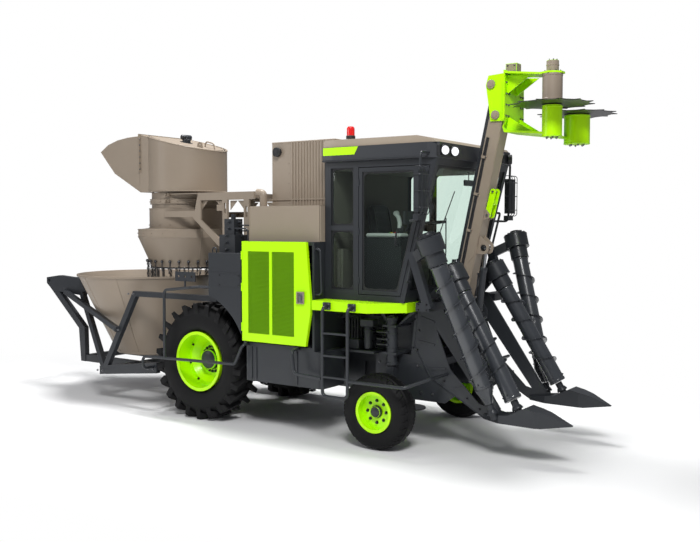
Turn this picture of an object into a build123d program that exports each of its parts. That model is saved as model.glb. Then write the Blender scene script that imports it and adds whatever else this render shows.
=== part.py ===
from build123d import *
import os
from math import cos, radians, sin, sqrt

os.makedirs("parts", exist_ok=True)

# Stations run forward from the rear axle, heights run up from the ground, all in millimetres.
# A station ahead of the cab's rear wall runs forward from the front axle instead.
WHEELBASE = 2680.0
FRONT_REACH = 2155.0
REAR_TIP = -3860.0
REAR_AXLE_X = -(WHEELBASE + FRONT_REACH + REAR_TIP) / 2.0
FRONT_AXLE_X = REAR_AXLE_X + WHEELBASE
RUNNING_GAP = 6.0
BEARING_GAP = 0.05

SIDE = Plane(origin=(REAR_AXLE_X, 0, 0), x_dir=(1, 0, 0), z_dir=(0, -1, 0))
PLAN = Plane(origin=(REAR_AXLE_X, 0, 0), x_dir=(1, 0, 0), z_dir=(0, 0, 1))
NOSE_SIDE = Plane(origin=(FRONT_AXLE_X, 0, 0), x_dir=(1, 0, 0), z_dir=(0, -1, 0))
NOSE_PLAN = Plane(origin=(FRONT_AXLE_X, 0, 0), x_dir=(1, 0, 0), z_dir=(0, 0, 1))


def at(x, y, z):
    """A point given by its station from the rear axle, its offset to the left and its height."""
    return Vector(REAR_AXLE_X + x, y, z)


def ahead(x, y, z):
    """A point given by its station from the front axle, its offset to the left and its height."""
    return Vector(FRONT_AXLE_X + x, y, z)


def along(start, end, level=(0, 1, 0)):
    """The plane at a bar's start that looks down the bar, its own x near the given direction."""
    line = (end - start).normalized()
    flat = Vector(*level)
    return Plane(origin=start, x_dir=flat - line * flat.dot(line), z_dir=line)


def sideways(start, side):
    """The plane that looks straight out to one side of the machine from a point."""
    return Plane(origin=start, x_dir=(0, 0, 1), z_dir=(0, side, 0))


# Rear wheels: a drive tyre with angled lugs on a deep dished rim that turns on a spindle.
REAR_R = 742.0
REAR_CENTRE_Y = 880.0
REAR_TYRE_W = 430.0
REAR_CARCASS_R = 702.0
REAR_RIM_W = 390.0
REAR_FLANGE_R = 380.0
REAR_SEAT_R = 352.0
REAR_DISC_Y = 800.0
REAR_HUB_R = 125.0
REAR_HUB_IN_Y = 700.0
REAR_HUB_OUT_Y = 885.0
REAR_LUGS = 22
LUG_W = 52.0
LUG_SWEEP = 100.0
LUG_ROOT = 30.0
RIM_FLANGE_T = 12.0
RIM_DISC_T = 16.0
SPINDLE_R = 40.0
BEAD_RISE = 6.0

rear_half = REAR_RIM_W / 2.0
rear_disc = REAR_CENTRE_Y - REAR_DISC_Y
with BuildPart() as rear_rim:
    with BuildSketch(Plane.XY):
        with BuildLine():
            Polyline(
                (SPINDLE_R + BEARING_GAP, REAR_HUB_IN_Y - REAR_CENTRE_Y),
                (REAR_HUB_R, REAR_HUB_IN_Y - REAR_CENTRE_Y),
                (REAR_HUB_R, -rear_disc - RIM_DISC_T),
                (REAR_HUB_R + 105.0, -rear_disc - RIM_DISC_T),
                (REAR_SEAT_R - 52.0, -RIM_DISC_T),
                (REAR_SEAT_R - RIM_FLANGE_T, -RIM_DISC_T),
                (REAR_SEAT_R - RIM_FLANGE_T, -rear_half),
                (REAR_FLANGE_R, -rear_half),
                (REAR_FLANGE_R, -rear_half + RIM_FLANGE_T),
                (REAR_SEAT_R, -rear_half + RIM_FLANGE_T),
                (REAR_SEAT_R, rear_half - RIM_FLANGE_T),
                (REAR_FLANGE_R, rear_half - RIM_FLANGE_T),
                (REAR_FLANGE_R, rear_half),
                (REAR_SEAT_R - RIM_FLANGE_T, rear_half),
                (REAR_SEAT_R - RIM_FLANGE_T, 0.0),
                (REAR_SEAT_R - 60.0, 0.0),
                (REAR_HUB_R + 97.0, -rear_disc),
                (REAR_HUB_R, -rear_disc),
                (REAR_HUB_R, REAR_HUB_OUT_Y - REAR_CENTRE_Y),
                (SPINDLE_R + BEARING_GAP, REAR_HUB_OUT_Y - REAR_CENTRE_Y),
                close=True,
            )
        make_face()
    revolve(axis=Axis.Y)

lug_reach = LUG_SWEEP + LUG_W / 2.0
with BuildPart() as rear_tyre:
    with BuildSketch(Plane.XY):
        with BuildLine():
            Polyline(
                (REAR_SEAT_R, -rear_half + RIM_FLANGE_T),
                (REAR_FLANGE_R + BEAD_RISE, -rear_half + RIM_FLANGE_T),
                (REAR_FLANGE_R + 90.0, -REAR_TYRE_W / 2.0),
                (REAR_CARCASS_R - 100.0, -REAR_TYRE_W / 2.0),
                (REAR_CARCASS_R - 22.0, -REAR_TYRE_W / 2.0 + 25.0),
                (REAR_CARCASS_R, -90.0),
                (REAR_CARCASS_R, 90.0),
                (REAR_CARCASS_R - 22.0, REAR_TYRE_W / 2.0 - 25.0),
                (REAR_CARCASS_R - 100.0, REAR_TYRE_W / 2.0),
                (REAR_FLANGE_R + 90.0, REAR_TYRE_W / 2.0),
                (REAR_FLANGE_R + BEAD_RISE, rear_half - RIM_FLANGE_T),
                (REAR_SEAT_R, rear_half - RIM_FLANGE_T),
                close=True,
            )
        make_face()
    revolve(axis=Axis.Y)
    for lug in range(REAR_LUGS):
        for hand in (-1, 1):
            turn = (lug + 0.25 * hand) * 360.0 / REAR_LUGS
            with BuildSketch(Plane.XY.rotated((0, turn, 0)).offset(REAR_CARCASS_R - LUG_ROOT)):
                with BuildLine():
                    Polyline(
                        (-LUG_W / 2.0, -hand * 12.0),
                        (LUG_W / 2.0, -hand * 12.0),
                        (lug_reach, hand * (REAR_TYRE_W / 2.0 - 6.0)),
                        (lug_reach - LUG_W - 8.0, hand * (REAR_TYRE_W / 2.0 - 6.0)),
                        close=True,
                    )
                make_face()
            extrude(amount=sqrt(REAR_R**2 - lug_reach**2) - REAR_CARCASS_R + LUG_ROOT)

# Front wheels: small steered wheels on eight-bolt rims.
FRONT_R = 420.0
FRONT_CENTRE_Y = 986.0
FRONT_TYRE_W = 307.0
FRONT_RIM_W = 260.0
FRONT_FLANGE_R = 228.0
FRONT_SEAT_R = 206.0
FRONT_DISC_Y = 1030.0
FRONT_HUB_R = 62.0
FRONT_HUB_IN_Y = 870.0
FRONT_HUB_OUT_Y = 1075.0
FRONT_SPINDLE_R = 28.0

front_half = FRONT_RIM_W / 2.0
front_disc = FRONT_DISC_Y - FRONT_CENTRE_Y
with BuildPart() as front_rim:
    with BuildSketch(Plane.XY):
        with BuildLine():
            Polyline(
                (FRONT_SPINDLE_R + BEARING_GAP, FRONT_HUB_IN_Y - FRONT_CENTRE_Y),
                (FRONT_HUB_R, FRONT_HUB_IN_Y - FRONT_CENTRE_Y),
                (FRONT_HUB_R, front_disc - RIM_DISC_T),
                (FRONT_SEAT_R - RIM_FLANGE_T, front_disc - RIM_DISC_T),
                (FRONT_SEAT_R - RIM_FLANGE_T, -front_half),
                (FRONT_FLANGE_R, -front_half),
                (FRONT_FLANGE_R, -front_half + RIM_FLANGE_T),
                (FRONT_SEAT_R, -front_half + RIM_FLANGE_T),
                (FRONT_SEAT_R, front_half - RIM_FLANGE_T),
                (FRONT_FLANGE_R, front_half - RIM_FLANGE_T),
                (FRONT_FLANGE_R, front_half),
                (FRONT_SEAT_R - RIM_FLANGE_T, front_half),
                (FRONT_SEAT_R - RIM_FLANGE_T, front_disc),
                (FRONT_HUB_R, front_disc),
                (FRONT_HUB_R, FRONT_HUB_OUT_Y - FRONT_CENTRE_Y),
                (FRONT_SPINDLE_R + BEARING_GAP, FRONT_HUB_OUT_Y - FRONT_CENTRE_Y),
                close=True,
            )
        make_face()
    revolve(axis=Axis.Y)

with BuildPart() as front_tyre:
    with BuildSketch(Plane.XY):
        with BuildLine():
            Polyline(
                (FRONT_SEAT_R, -front_half + RIM_FLANGE_T),
                (FRONT_FLANGE_R + BEAD_RISE, -front_half + RIM_FLANGE_T),
                (FRONT_R - 130.0, -FRONT_TYRE_W / 2.0),
                (FRONT_R - 65.0, -FRONT_TYRE_W / 2.0),
                (FRONT_R - 14.0, -FRONT_TYRE_W / 2.0 + 25.0),
                (FRONT_R, -90.0),
                (FRONT_R, 90.0),
                (FRONT_R - 14.0, FRONT_TYRE_W / 2.0 - 25.0),
                (FRONT_R - 65.0, FRONT_TYRE_W / 2.0),
                (FRONT_R - 130.0, FRONT_TYRE_W / 2.0),
                (FRONT_FLANGE_R + BEAD_RISE, front_half - RIM_FLANGE_T),
                (FRONT_SEAT_R, front_half - RIM_FLANGE_T),
                close=True,
            )
        make_face()
    revolve(axis=Axis.Y)

wheels = (
    (rear_rim, "rear_rim", 0.0, REAR_CENTRE_Y, REAR_R),
    (rear_tyre, "rear_tyre", 0.0, REAR_CENTRE_Y, REAR_R),
    (front_rim, "front_rim", WHEELBASE, FRONT_CENTRE_Y, FRONT_R),
    (front_tyre, "front_tyre", WHEELBASE, FRONT_CENTRE_Y, FRONT_R),
)
for piece, kind, station, centre_y, height in wheels:
    for name, side, turn in (("left", 1, 0.0), ("right", -1, 180.0)):
        placed = piece.part.rotate(Axis.Z, turn).moved(Location(at(station, side * centre_y, height)))
        placed.label = f"{kind}_{name}"
        export_step(placed, f"parts/{kind}_{name}.step")
# Widths and stations that more than one piece keeps to.
REAR_BODY_X = 270.0
THROAT_OUT = 634.0
STRUT_OUT = 1015.0

# Chassis: two deep side rails, drop plates for the final drives and the tail, uprights for the cab.
RAIL_IN = 360.0
RAIL_OUT = 450.0
RAIL_LOW = 860.0
RAIL_TOP = 1020.0
RAIL_REAR = -980.0
RAIL_FRONT = WHEELBASE + 280.0
DRIVE_PLATE_LOW = 560.0
DRIVE_PLATE_HALF = 250.0
TAIL_TOP = 500.0
TAIL_LOW = 400.0
PLATFORM_LOW = 1510.0
PLATFORM_TOP = 1620.0
DRIVE_R = 170.0
KINGPIN_Y = 720.0
KINGPIN_R = 42.0
SLEEVE_R = 62.0
SLEEVE_LOW = 900.0
SLEEVE_TOP = 1440.0

with BuildPart() as chassis_frame:
    for side in (-1, 1):
        with BuildSketch(SIDE.offset(-side * RAIL_IN)):
            with BuildLine():
                Polyline(
                    (RAIL_REAR, TAIL_LOW),
                    (RAIL_REAR + 80.0, TAIL_LOW),
                    (RAIL_REAR + 80.0, RAIL_LOW),
                    (-DRIVE_PLATE_HALF, RAIL_LOW),
                    (-DRIVE_PLATE_HALF, DRIVE_PLATE_LOW),
                    (DRIVE_PLATE_HALF, DRIVE_PLATE_LOW),
                    (DRIVE_PLATE_HALF, RAIL_LOW),
                    (RAIL_FRONT, RAIL_LOW),
                    (RAIL_FRONT, PLATFORM_LOW),
                    (RAIL_FRONT - 100.0, PLATFORM_LOW),
                    (RAIL_FRONT - 100.0, RAIL_TOP),
                    (WHEELBASE - 600.0, RAIL_TOP),
                    (WHEELBASE - 600.0, PLATFORM_LOW),
                    (WHEELBASE - 700.0, PLATFORM_LOW),
                    (WHEELBASE - 700.0, RAIL_TOP),
                    (RAIL_REAR, RAIL_TOP),
                    close=True,
                )
            make_face()
        extrude(amount=-side * (RAIL_OUT - RAIL_IN))
        with BuildSketch(SIDE.offset(-side * RAIL_OUT)):
            with Locations((0, REAR_R)):
                Circle(DRIVE_R)
        extrude(amount=-side * (REAR_HUB_IN_Y - RUNNING_GAP - RAIL_OUT))
        with BuildSketch(SIDE.offset(-side * (REAR_HUB_IN_Y - RUNNING_GAP))):
            with Locations((0, REAR_R)):
                Circle(SPINDLE_R)
        extrude(amount=-side * (REAR_HUB_OUT_Y - REAR_HUB_IN_Y - 20.0))
        for low in (1020.0, 1330.0):
            with BuildSketch(PLAN.offset(low)):
                with Locations((WHEELBASE, side * (RAIL_OUT + KINGPIN_Y + SLEEVE_R) / 2.0)):
                    Rectangle(180.0, KINGPIN_Y + SLEEVE_R - RAIL_OUT)
            extrude(amount=24.0)
        with BuildSketch(SIDE.offset(-side * RAIL_IN)):
            with Locations((WHEELBASE, (RAIL_TOP + 1354.0) / 2.0)):
                Rectangle(180.0, 1354.0 - RAIL_TOP)
        extrude(amount=-side * (RAIL_OUT - RAIL_IN))
        with BuildSketch(PLAN.offset(SLEEVE_LOW)):
            with Locations((WHEELBASE, side * KINGPIN_Y)):
                Circle(SLEEVE_R)
        extrude(amount=SLEEVE_TOP - SLEEVE_LOW)
        with BuildSketch(PLAN.offset(SLEEVE_LOW)):
            with Locations((WHEELBASE, side * KINGPIN_Y)):
                Circle(KINGPIN_R + BEARING_GAP)
        extrude(amount=SLEEVE_TOP - SLEEVE_LOW, mode=Mode.SUBTRACT)
    for station in (RAIL_REAR + 180.0, REAR_BODY_X + 290.0, WHEELBASE - 280.0):
        with BuildSketch(PLAN.offset(RAIL_TOP)):
            with Locations((station, 0)):
                Rectangle(120.0, 2.0 * RAIL_OUT)
        extrude(amount=60.0)
chassis_frame.part.label = "chassis_frame"
export_step(chassis_frame.part, "parts/chassis_frame.step")

# Steering knuckles: a kingpin turning in the chassis sleeve, a foot and the wheel spindle.
KNUCKLE_LOW = 330.0
KNUCKLE_TOP = 880.0
KNUCKLE_HALF = 48.0
for name, side in (("left", 1), ("right", -1)):
    with BuildPart() as knuckle:
        with BuildSketch(PLAN.offset(KNUCKLE_LOW)):
            with Locations((WHEELBASE, side * KINGPIN_Y)):
                Rectangle(2.0 * KNUCKLE_HALF, 2.0 * KNUCKLE_HALF)
        extrude(amount=KNUCKLE_TOP - KNUCKLE_LOW)
        with BuildSketch(PLAN.offset(KNUCKLE_TOP)):
            with Locations((WHEELBASE, side * KINGPIN_Y)):
                Circle(KINGPIN_R)
        extrude(amount=SLEEVE_TOP + 20.0 - KNUCKLE_TOP)
        with BuildSketch(SIDE.offset(-side * KINGPIN_Y)):
            with Locations((WHEELBASE, FRONT_R)):
                Circle(FRONT_HUB_R)
        extrude(amount=-side * (FRONT_HUB_IN_Y - RUNNING_GAP - KINGPIN_Y))
        with BuildSketch(SIDE.offset(-side * KINGPIN_Y)):
            with Locations((WHEELBASE, FRONT_R)):
                Circle(FRONT_SPINDLE_R)
        extrude(amount=-side * (FRONT_HUB_OUT_Y - 15.0 - KINGPIN_Y))
    knuckle.part.label = f"knuckle_{name}"
    export_step(knuckle.part, f"parts/knuckle_{name}.step")

# Feed duct: the open channel that carries the cut cane back between the rails, with the base cutter.
DUCT_HALF = RAIL_IN - 5.0
DUCT_LOW = 500.0
DUCT_WALL = 10.0
DUCT_REAR = -850.0
DUCT_FRONT = RAIL_FRONT - 60.0
CUTTER_X = WHEELBASE - 300.0
CUTTER_Y = 200.0
CUTTER_DISC_R = 190.0
CUTTER_LOW = 210.0
with BuildPart() as feed_duct:
    with BuildSketch(PLAN.offset(DUCT_LOW)):
        with Locations(((DUCT_REAR + DUCT_FRONT) / 2.0, 0)):
            Rectangle(DUCT_FRONT - DUCT_REAR, 2.0 * DUCT_HALF)
    extrude(amount=RAIL_TOP - DUCT_LOW)
    with BuildSketch(PLAN.offset(DUCT_LOW + DUCT_WALL)):
        with Locations(((DUCT_REAR + DUCT_FRONT) / 2.0, 0)):
            Rectangle(DUCT_FRONT - DUCT_REAR, 2.0 * (DUCT_HALF - DUCT_WALL))
    extrude(amount=RAIL_TOP - DUCT_LOW - 2.0 * DUCT_WALL, mode=Mode.SUBTRACT)
    for side in (-1, 1):
        with BuildSketch(PLAN.offset(CUTTER_LOW)):
            with Locations((CUTTER_X, side * CUTTER_Y)):
                Circle(60.0)
        extrude(amount=DUCT_LOW + DUCT_WALL - CUTTER_LOW)
        with BuildSketch(PLAN.offset(CUTTER_LOW)):
            with Locations((CUTTER_X, side * CUTTER_Y)):
                Circle(CUTTER_DISC_R)
        extrude(amount=15.0)
feed_duct.part.label = "feed_duct"
export_step(feed_duct.part, "parts/feed_duct.step")

# Body shell: the tank block over the rear wheels and the open engine bay ahead of it.
BODY_HALF = 1150.0
DOOR_T = 40.0
DOOR_GAP = 10.0
BAY_HALF = BODY_HALF - DOOR_T - DOOR_GAP
BAY_X = 800.0
BAY_FRONT = WHEELBASE - 810.0
REAR_BODY_TOP = 2130.0
ARCH_R = 900.0
BAY_FLOOR = 40.0
BAY_TOP = 2280.0
BAY_WALL = 30.0
INNER_BODY_HALF = 600.0
with BuildPart() as body_shell:
    with BuildSketch(SIDE):
        with Locations(((REAR_BODY_X + BAY_X) / 2.0, (RAIL_TOP + REAR_BODY_TOP) / 2.0)):
            Rectangle(BAY_X - REAR_BODY_X, REAR_BODY_TOP - RAIL_TOP)
    extrude(amount=BODY_HALF, both=True)
    for side in (-1, 1):
        with BuildSketch(SIDE.offset(-side * INNER_BODY_HALF)):
            with Locations((0, REAR_R)):
                Circle(ARCH_R)
        extrude(amount=-side * (BODY_HALF - INNER_BODY_HALF), mode=Mode.SUBTRACT)
    with BuildSketch(SIDE):
        with Locations(((BAY_X + BAY_FRONT) / 2.0, (RAIL_TOP + BAY_TOP) / 2.0)):
            Rectangle(BAY_FRONT - BAY_X, BAY_TOP - RAIL_TOP)
        with Locations(((BAY_X + BAY_FRONT) / 2.0, (RAIL_TOP + BAY_TOP) / 2.0)):
            Rectangle(
                BAY_FRONT - BAY_X - 2.0 * BAY_WALL,
                BAY_TOP - RAIL_TOP - 2.0 * BAY_FLOOR,
                mode=Mode.SUBTRACT,
            )
    extrude(amount=BAY_HALF, both=True)
    with BuildSketch(PLAN.offset(RAIL_TOP)):
        with Locations((REAR_BODY_X + 290.0, 0)):
            Rectangle(120.0, 2.0 * RAIL_OUT)
    extrude(amount=60.0, mode=Mode.SUBTRACT)
body_shell.part.label = "body_shell"
export_step(body_shell.part, "parts/body_shell.step")

# Engine: one plain block at its place and size.
ENGINE_L = 900.0
ENGINE_W = 760.0
ENGINE_H = 900.0
with BuildPart() as engine_block:
    with Locations(at((BAY_X + BAY_FRONT) / 2.0 - 35.0, 0, RAIL_TOP + BAY_FLOOR + ENGINE_H / 2.0)):
        Box(ENGINE_L, ENGINE_W, ENGINE_H)
engine_block.part.label = "engine_block"
export_step(engine_block.part, "parts/engine_block.step")

# Cooling housing: the low air box, the tall ribbed tower on it and the exhaust stub.
BOX_HALF = BAY_HALF - 100.0
BOX_TOP = 2700.0
TOWER_REAR = 930.0
TOWER_RIBS = 1220.0
TOWER_HALF = 700.0
TOWER_TOP = 3480.0
RIB_PITCH = 44.0
RIB_W = 20.0
RIB_OUT = 12.0
BEACON_R = 48.0
with BuildPart() as cooling_housing:
    with Locations(at((BAY_X + 20.0 + BAY_FRONT) / 2.0, 0, (BAY_TOP + BOX_TOP) / 2.0)):
        Box(BAY_FRONT - BAY_X - 20.0, 2.0 * BOX_HALF, BOX_TOP - BAY_TOP)
    with Locations(at((TOWER_REAR + BAY_FRONT) / 2.0, 0, (BOX_TOP + TOWER_TOP) / 2.0)):
        Box(BAY_FRONT - TOWER_REAR, 2.0 * TOWER_HALF, TOWER_TOP - BOX_TOP)
    rib_count = int((BAY_FRONT - TOWER_RIBS) / RIB_PITCH)
    for rib in range(rib_count):
        with Locations(at(TOWER_RIBS + (rib + 0.5) * RIB_PITCH, 0, (BOX_TOP + TOWER_TOP) / 2.0)):
            Box(RIB_W, 2.0 * (TOWER_HALF + RIB_OUT), TOWER_TOP - BOX_TOP - 20.0)
    with BuildSketch(PLAN.offset(BOX_TOP)):
        with Locations((BAY_X + 70.0, -BOX_HALF + 200.0)):
            Circle(45.0)
    extrude(amount=120.0)
    with BuildSketch(PLAN.offset(TOWER_TOP)):
        with Locations((BAY_FRONT - 250.0, 0)):
            Circle(14.0)
    extrude(amount=70.0)
    for low, high, radius in (
        (70.0, 105.0, BEACON_R + 8.0),
        (105.0, 190.0, BEACON_R),
        (190.0, 220.0, BEACON_R - 14.0),
    ):
        with BuildSketch(PLAN.offset(TOWER_TOP + low)):
            with Locations((BAY_FRONT - 250.0, 0)):
                Circle(radius)
        extrude(amount=high - low)
cooling_housing.part.label = "cooling_housing"
export_step(cooling_housing.part, "parts/cooling_housing.step")

# Service doors: green side doors with two mesh panes each, hinged on their rear edges.
DOOR_LOW = 1080.0
DOOR_REAR = BAY_X + 20.0
WINDOW_LOW = 1180.0
WINDOW_TOP = 2160.0
MESH_SET_IN = 15.0
HINGE_R = 12.0
HINGE_L = 100.0
window_mid = (DOOR_REAR + BAY_FRONT - 80.0) / 2.0 - 40.0
windows = ((DOOR_REAR + 95.0, window_mid - 20.0), (window_mid + 20.0, BAY_FRONT - 255.0))
for name, side in (("left", 1), ("right", -1)):
    with BuildPart() as service_door:
        with BuildSketch(SIDE.offset(-side * (BODY_HALF - DOOR_T))):
            with BuildLine():
                Polyline(
                    (DOOR_REAR, DOOR_LOW),
                    (BAY_FRONT - 90.0, DOOR_LOW),
                    (BAY_FRONT - 20.0, 1470.0),
                    (BAY_FRONT - 20.0, 1620.0),
                    (BAY_FRONT - 80.0, BAY_TOP),
                    (DOOR_REAR, BAY_TOP),
                    close=True,
                )
            make_face()
        extrude(amount=-side * DOOR_T)
        for face in (BODY_HALF - DOOR_T, BODY_HALF - MESH_SET_IN):
            with BuildSketch(SIDE.offset(-side * face)):
                for low, high in windows:
                    with Locations(((low + high) / 2.0, (WINDOW_LOW + WINDOW_TOP) / 2.0)):
                        Rectangle(high - low, WINDOW_TOP - WINDOW_LOW)
            extrude(amount=-side * MESH_SET_IN, mode=Mode.SUBTRACT)
        for low in (DOOR_LOW + 120.0, (DOOR_LOW + BAY_TOP) / 2.0, BAY_TOP - 220.0):
            with BuildSketch(PLAN.offset(low)):
                with Locations((DOOR_REAR, side * BODY_HALF)):
                    Circle(HINGE_R)
            extrude(amount=HINGE_L)
        with BuildSketch(SIDE.offset(-side * BODY_HALF)):
            with Locations((BAY_FRONT - 150.0, 1640.0)):
                RectangleRounded(70.0, 120.0, 12.0)
        extrude(amount=-side * 12.0)
    service_door.part.label = f"service_door_{name}"
    export_step(service_door.part, f"parts/service_door_{name}.step")

# Side tanks: rounded fuel and oil tanks slung under the engine bay floor.
TANK_LOW = 595.0
TANK_W = 480.0
with BuildPart() as side_tanks:
    for side in (-1, 1):
        with BuildSketch(PLAN.offset(TANK_LOW)):
            with Locations(((BAY_X + 10.0 + BAY_FRONT + 110.0) / 2.0, side * (BAY_HALF - TANK_W / 2.0))):
                RectangleRounded(BAY_FRONT + 100.0 - BAY_X, TANK_W, 60.0)
        extrude(amount=RAIL_TOP - TANK_LOW)
side_tanks.part.label = "side_tanks"
export_step(side_tanks.part, "parts/side_tanks.step")

# Platform: the green step deck the cab stands on.
with BuildPart() as platform:
    with BuildSketch(PLAN.offset(PLATFORM_LOW)):
        with BuildLine():
            Polyline(
                (BAY_FRONT, -BODY_HALF),
                (WHEELBASE - 60.0, -BODY_HALF),
                (WHEELBASE + 270.0, -BODY_HALF + 300.0),
                (WHEELBASE + 270.0, BODY_HALF - 300.0),
                (WHEELBASE - 60.0, BODY_HALF),
                (BAY_FRONT, BODY_HALF),
                close=True,
            )
        make_face()
    extrude(amount=PLATFORM_TOP - PLATFORM_LOW)
platform.part.label = "platform"
export_step(platform.part, "parts/platform.step")

# Ladder on the right side, bent from one tube with three rungs.
GUARD_Y = BODY_HALF + 95.0
REAR_GUARD_Y = BODY_HALF + 50.0
TUBE_R = 19.0
BEND_R = 60.0
LADDER_REAR = WHEELBASE - 590.0
LADDER_FRONT = WHEELBASE - 250.0
with BuildPart() as ladder:
    with BuildLine() as ladder_path:
        FilletPolyline(
            at(LADDER_REAR, -BODY_HALF, 1560.0),
            at(LADDER_REAR, -GUARD_Y, 1560.0),
            at(LADDER_REAR, -GUARD_Y, 560.0),
            at(LADDER_FRONT, -GUARD_Y, 560.0),
            at(LADDER_FRONT, -GUARD_Y, 1560.0),
            at(LADDER_FRONT, -BODY_HALF, 1560.0),
            radius=BEND_R,
        )
    with BuildSketch(sideways(ladder_path.line @ 0, -1)):
        Circle(TUBE_R)
    sweep(path=ladder_path.line)
    for height in (780.0, 1020.0, 1270.0):
        with Locations(at((LADDER_REAR + LADDER_FRONT) / 2.0, -GUARD_Y, height)):
            Box(LADDER_FRONT - LADDER_REAR, 36.0, 20.0)
ladder.part.label = "ladder"
export_step(ladder.part, "parts/ladder.step")

# Guards: bent tube rails outside the front and rear wheels, the same on both sides.
with BuildPart() as guards:
    for side in (-1, 1):
        with BuildLine() as front_path:
            FilletPolyline(
                at(BAY_FRONT - 220.0, side * BAY_HALF, 1040.0),
                at(BAY_FRONT - 220.0, side * GUARD_Y, 1040.0),
                at(BAY_FRONT - 180.0, side * GUARD_Y, 775.0),
                at(BAY_FRONT + 150.0, side * GUARD_Y, 755.0),
                at(WHEELBASE + 470.0, side * GUARD_Y, 760.0),
                at(WHEELBASE + 650.0, side * (GUARD_Y - 245.0), 840.0),
                at(WHEELBASE + 650.0, side * THROAT_OUT, 840.0),
                radius=BEND_R,
            )
        with BuildSketch(sideways(front_path.line @ 0, side)):
            Circle(TUBE_R)
        sweep(path=front_path.line)
        if side == -1:
            with Locations(at((LADDER_REAR + LADDER_FRONT) / 2.0, -GUARD_Y, 755.0)):
                Box(LADDER_FRONT - LADDER_REAR + 2.0 * TUBE_R + 1.0, 200.0, 200.0, mode=Mode.SUBTRACT)
        with BuildLine() as rear_path:
            FilletPolyline(
                at(REAR_BODY_X, side * (BODY_HALF - 25.0), 1700.0),
                at(100.0, side * (BODY_HALF - 25.0), 1700.0),
                at(0.0, side * REAR_GUARD_Y, 1690.0),
                at(-460.0, side * REAR_GUARD_Y, 1640.0),
                at(-465.0, side * REAR_GUARD_Y, 770.0),
                radius=BEND_R,
            )
        with BuildSketch(Plane(origin=rear_path.line @ 0, x_dir=(0, 0, 1), z_dir=(-1, 0, 0))):
            Circle(TUBE_R)
        sweep(path=rear_path.line)
        with BuildLine() as low_path:
            FilletPolyline(
                at(-870.0, side * STRUT_OUT, 590.0),
                at(-870.0, side * REAR_GUARD_Y, 590.0),
                at(-870.0, side * REAR_GUARD_Y, 750.0),
                at(BAY_X - 60.0, side * REAR_GUARD_Y, 790.0),
                at(BAY_X + 70.0, side * REAR_GUARD_Y, 1040.0),
                at(BAY_X + 70.0, side * BAY_HALF, 1040.0),
                radius=BEND_R,
            )
        with BuildSketch(sideways(low_path.line @ 0, side)):
            Circle(TUBE_R)
        sweep(path=low_path.line)
guards.part.label = "guards"
export_step(guards.part, "parts/guards.step")

# Cab: a hollow shell with a leaning front, window and door openings and a sloped A-pillar each side.
CAB_HALF = 900.0
CAB_REAR = -800.0
CAB_FRONT_LOW = 260.0
CAB_TOP = 3190.0
CAB_WALL = 60.0
LEAN = 0.258
PILLAR_W = 62.0
QUARTER_REAR = -720.0
QUARTER_FRONT = -405.0
OPEN_REAR = -340.0
OPEN_LOW = 1690.0
OPEN_TOP = 3120.0
SCREEN_LOW = 1760.0
GLASS_T = 6.0
GLASS_IN = 22.0


def front_x(height, back):
    """Station of the leaning cab front at a height, moved back by a distance."""
    return CAB_FRONT_LOW - back + LEAN * (height - PLATFORM_TOP)


def doorway(back, low, top, rear):
    """Corners of a doorway, door or pane that follows the leaning front."""
    return ((rear, low), (front_x(low, back), low), (front_x(top, back), top), (rear, top))


cab_inside = doorway(CAB_WALL, PLATFORM_TOP + CAB_WALL, CAB_TOP - CAB_WALL, CAB_REAR + CAB_WALL)
quarter_panes = ((1740.0, 2410.0), (2470.0, OPEN_TOP))
with BuildPart() as cab_shell:
    with BuildSketch(NOSE_SIDE):
        with BuildLine():
            Polyline(*doorway(0.0, PLATFORM_TOP, CAB_TOP, CAB_REAR), close=True)
        make_face()
    extrude(amount=CAB_HALF, both=True)
    with BuildSketch(NOSE_SIDE):
        with BuildLine():
            Polyline(*cab_inside, close=True)
        make_face()
    extrude(amount=CAB_HALF - CAB_WALL, both=True, mode=Mode.SUBTRACT)
    with BuildSketch(NOSE_SIDE):
        with BuildLine():
            Polyline(
                (front_x(SCREEN_LOW, 2.0 * CAB_WALL), SCREEN_LOW),
                (front_x(SCREEN_LOW, -CAB_WALL), SCREEN_LOW),
                (front_x(OPEN_TOP, -CAB_WALL), OPEN_TOP),
                (front_x(OPEN_TOP, 2.0 * CAB_WALL), OPEN_TOP),
                close=True,
            )
        make_face()
    extrude(amount=CAB_HALF - PILLAR_W, both=True, mode=Mode.SUBTRACT)
    with BuildSketch(NOSE_SIDE):
        with BuildLine():
            Polyline(*doorway(PILLAR_W, OPEN_LOW, OPEN_TOP, OPEN_REAR), close=True)
        make_face()
        for low, top in quarter_panes:
            with Locations(((QUARTER_REAR + QUARTER_FRONT) / 2.0, (low + top) / 2.0)):
                Rectangle(QUARTER_FRONT - QUARTER_REAR, top - low)
    extrude(amount=CAB_HALF, both=True, mode=Mode.SUBTRACT)
cab_shell.part.label = "cab_shell"
export_step(cab_shell.part, "parts/cab_shell.step")

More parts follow.
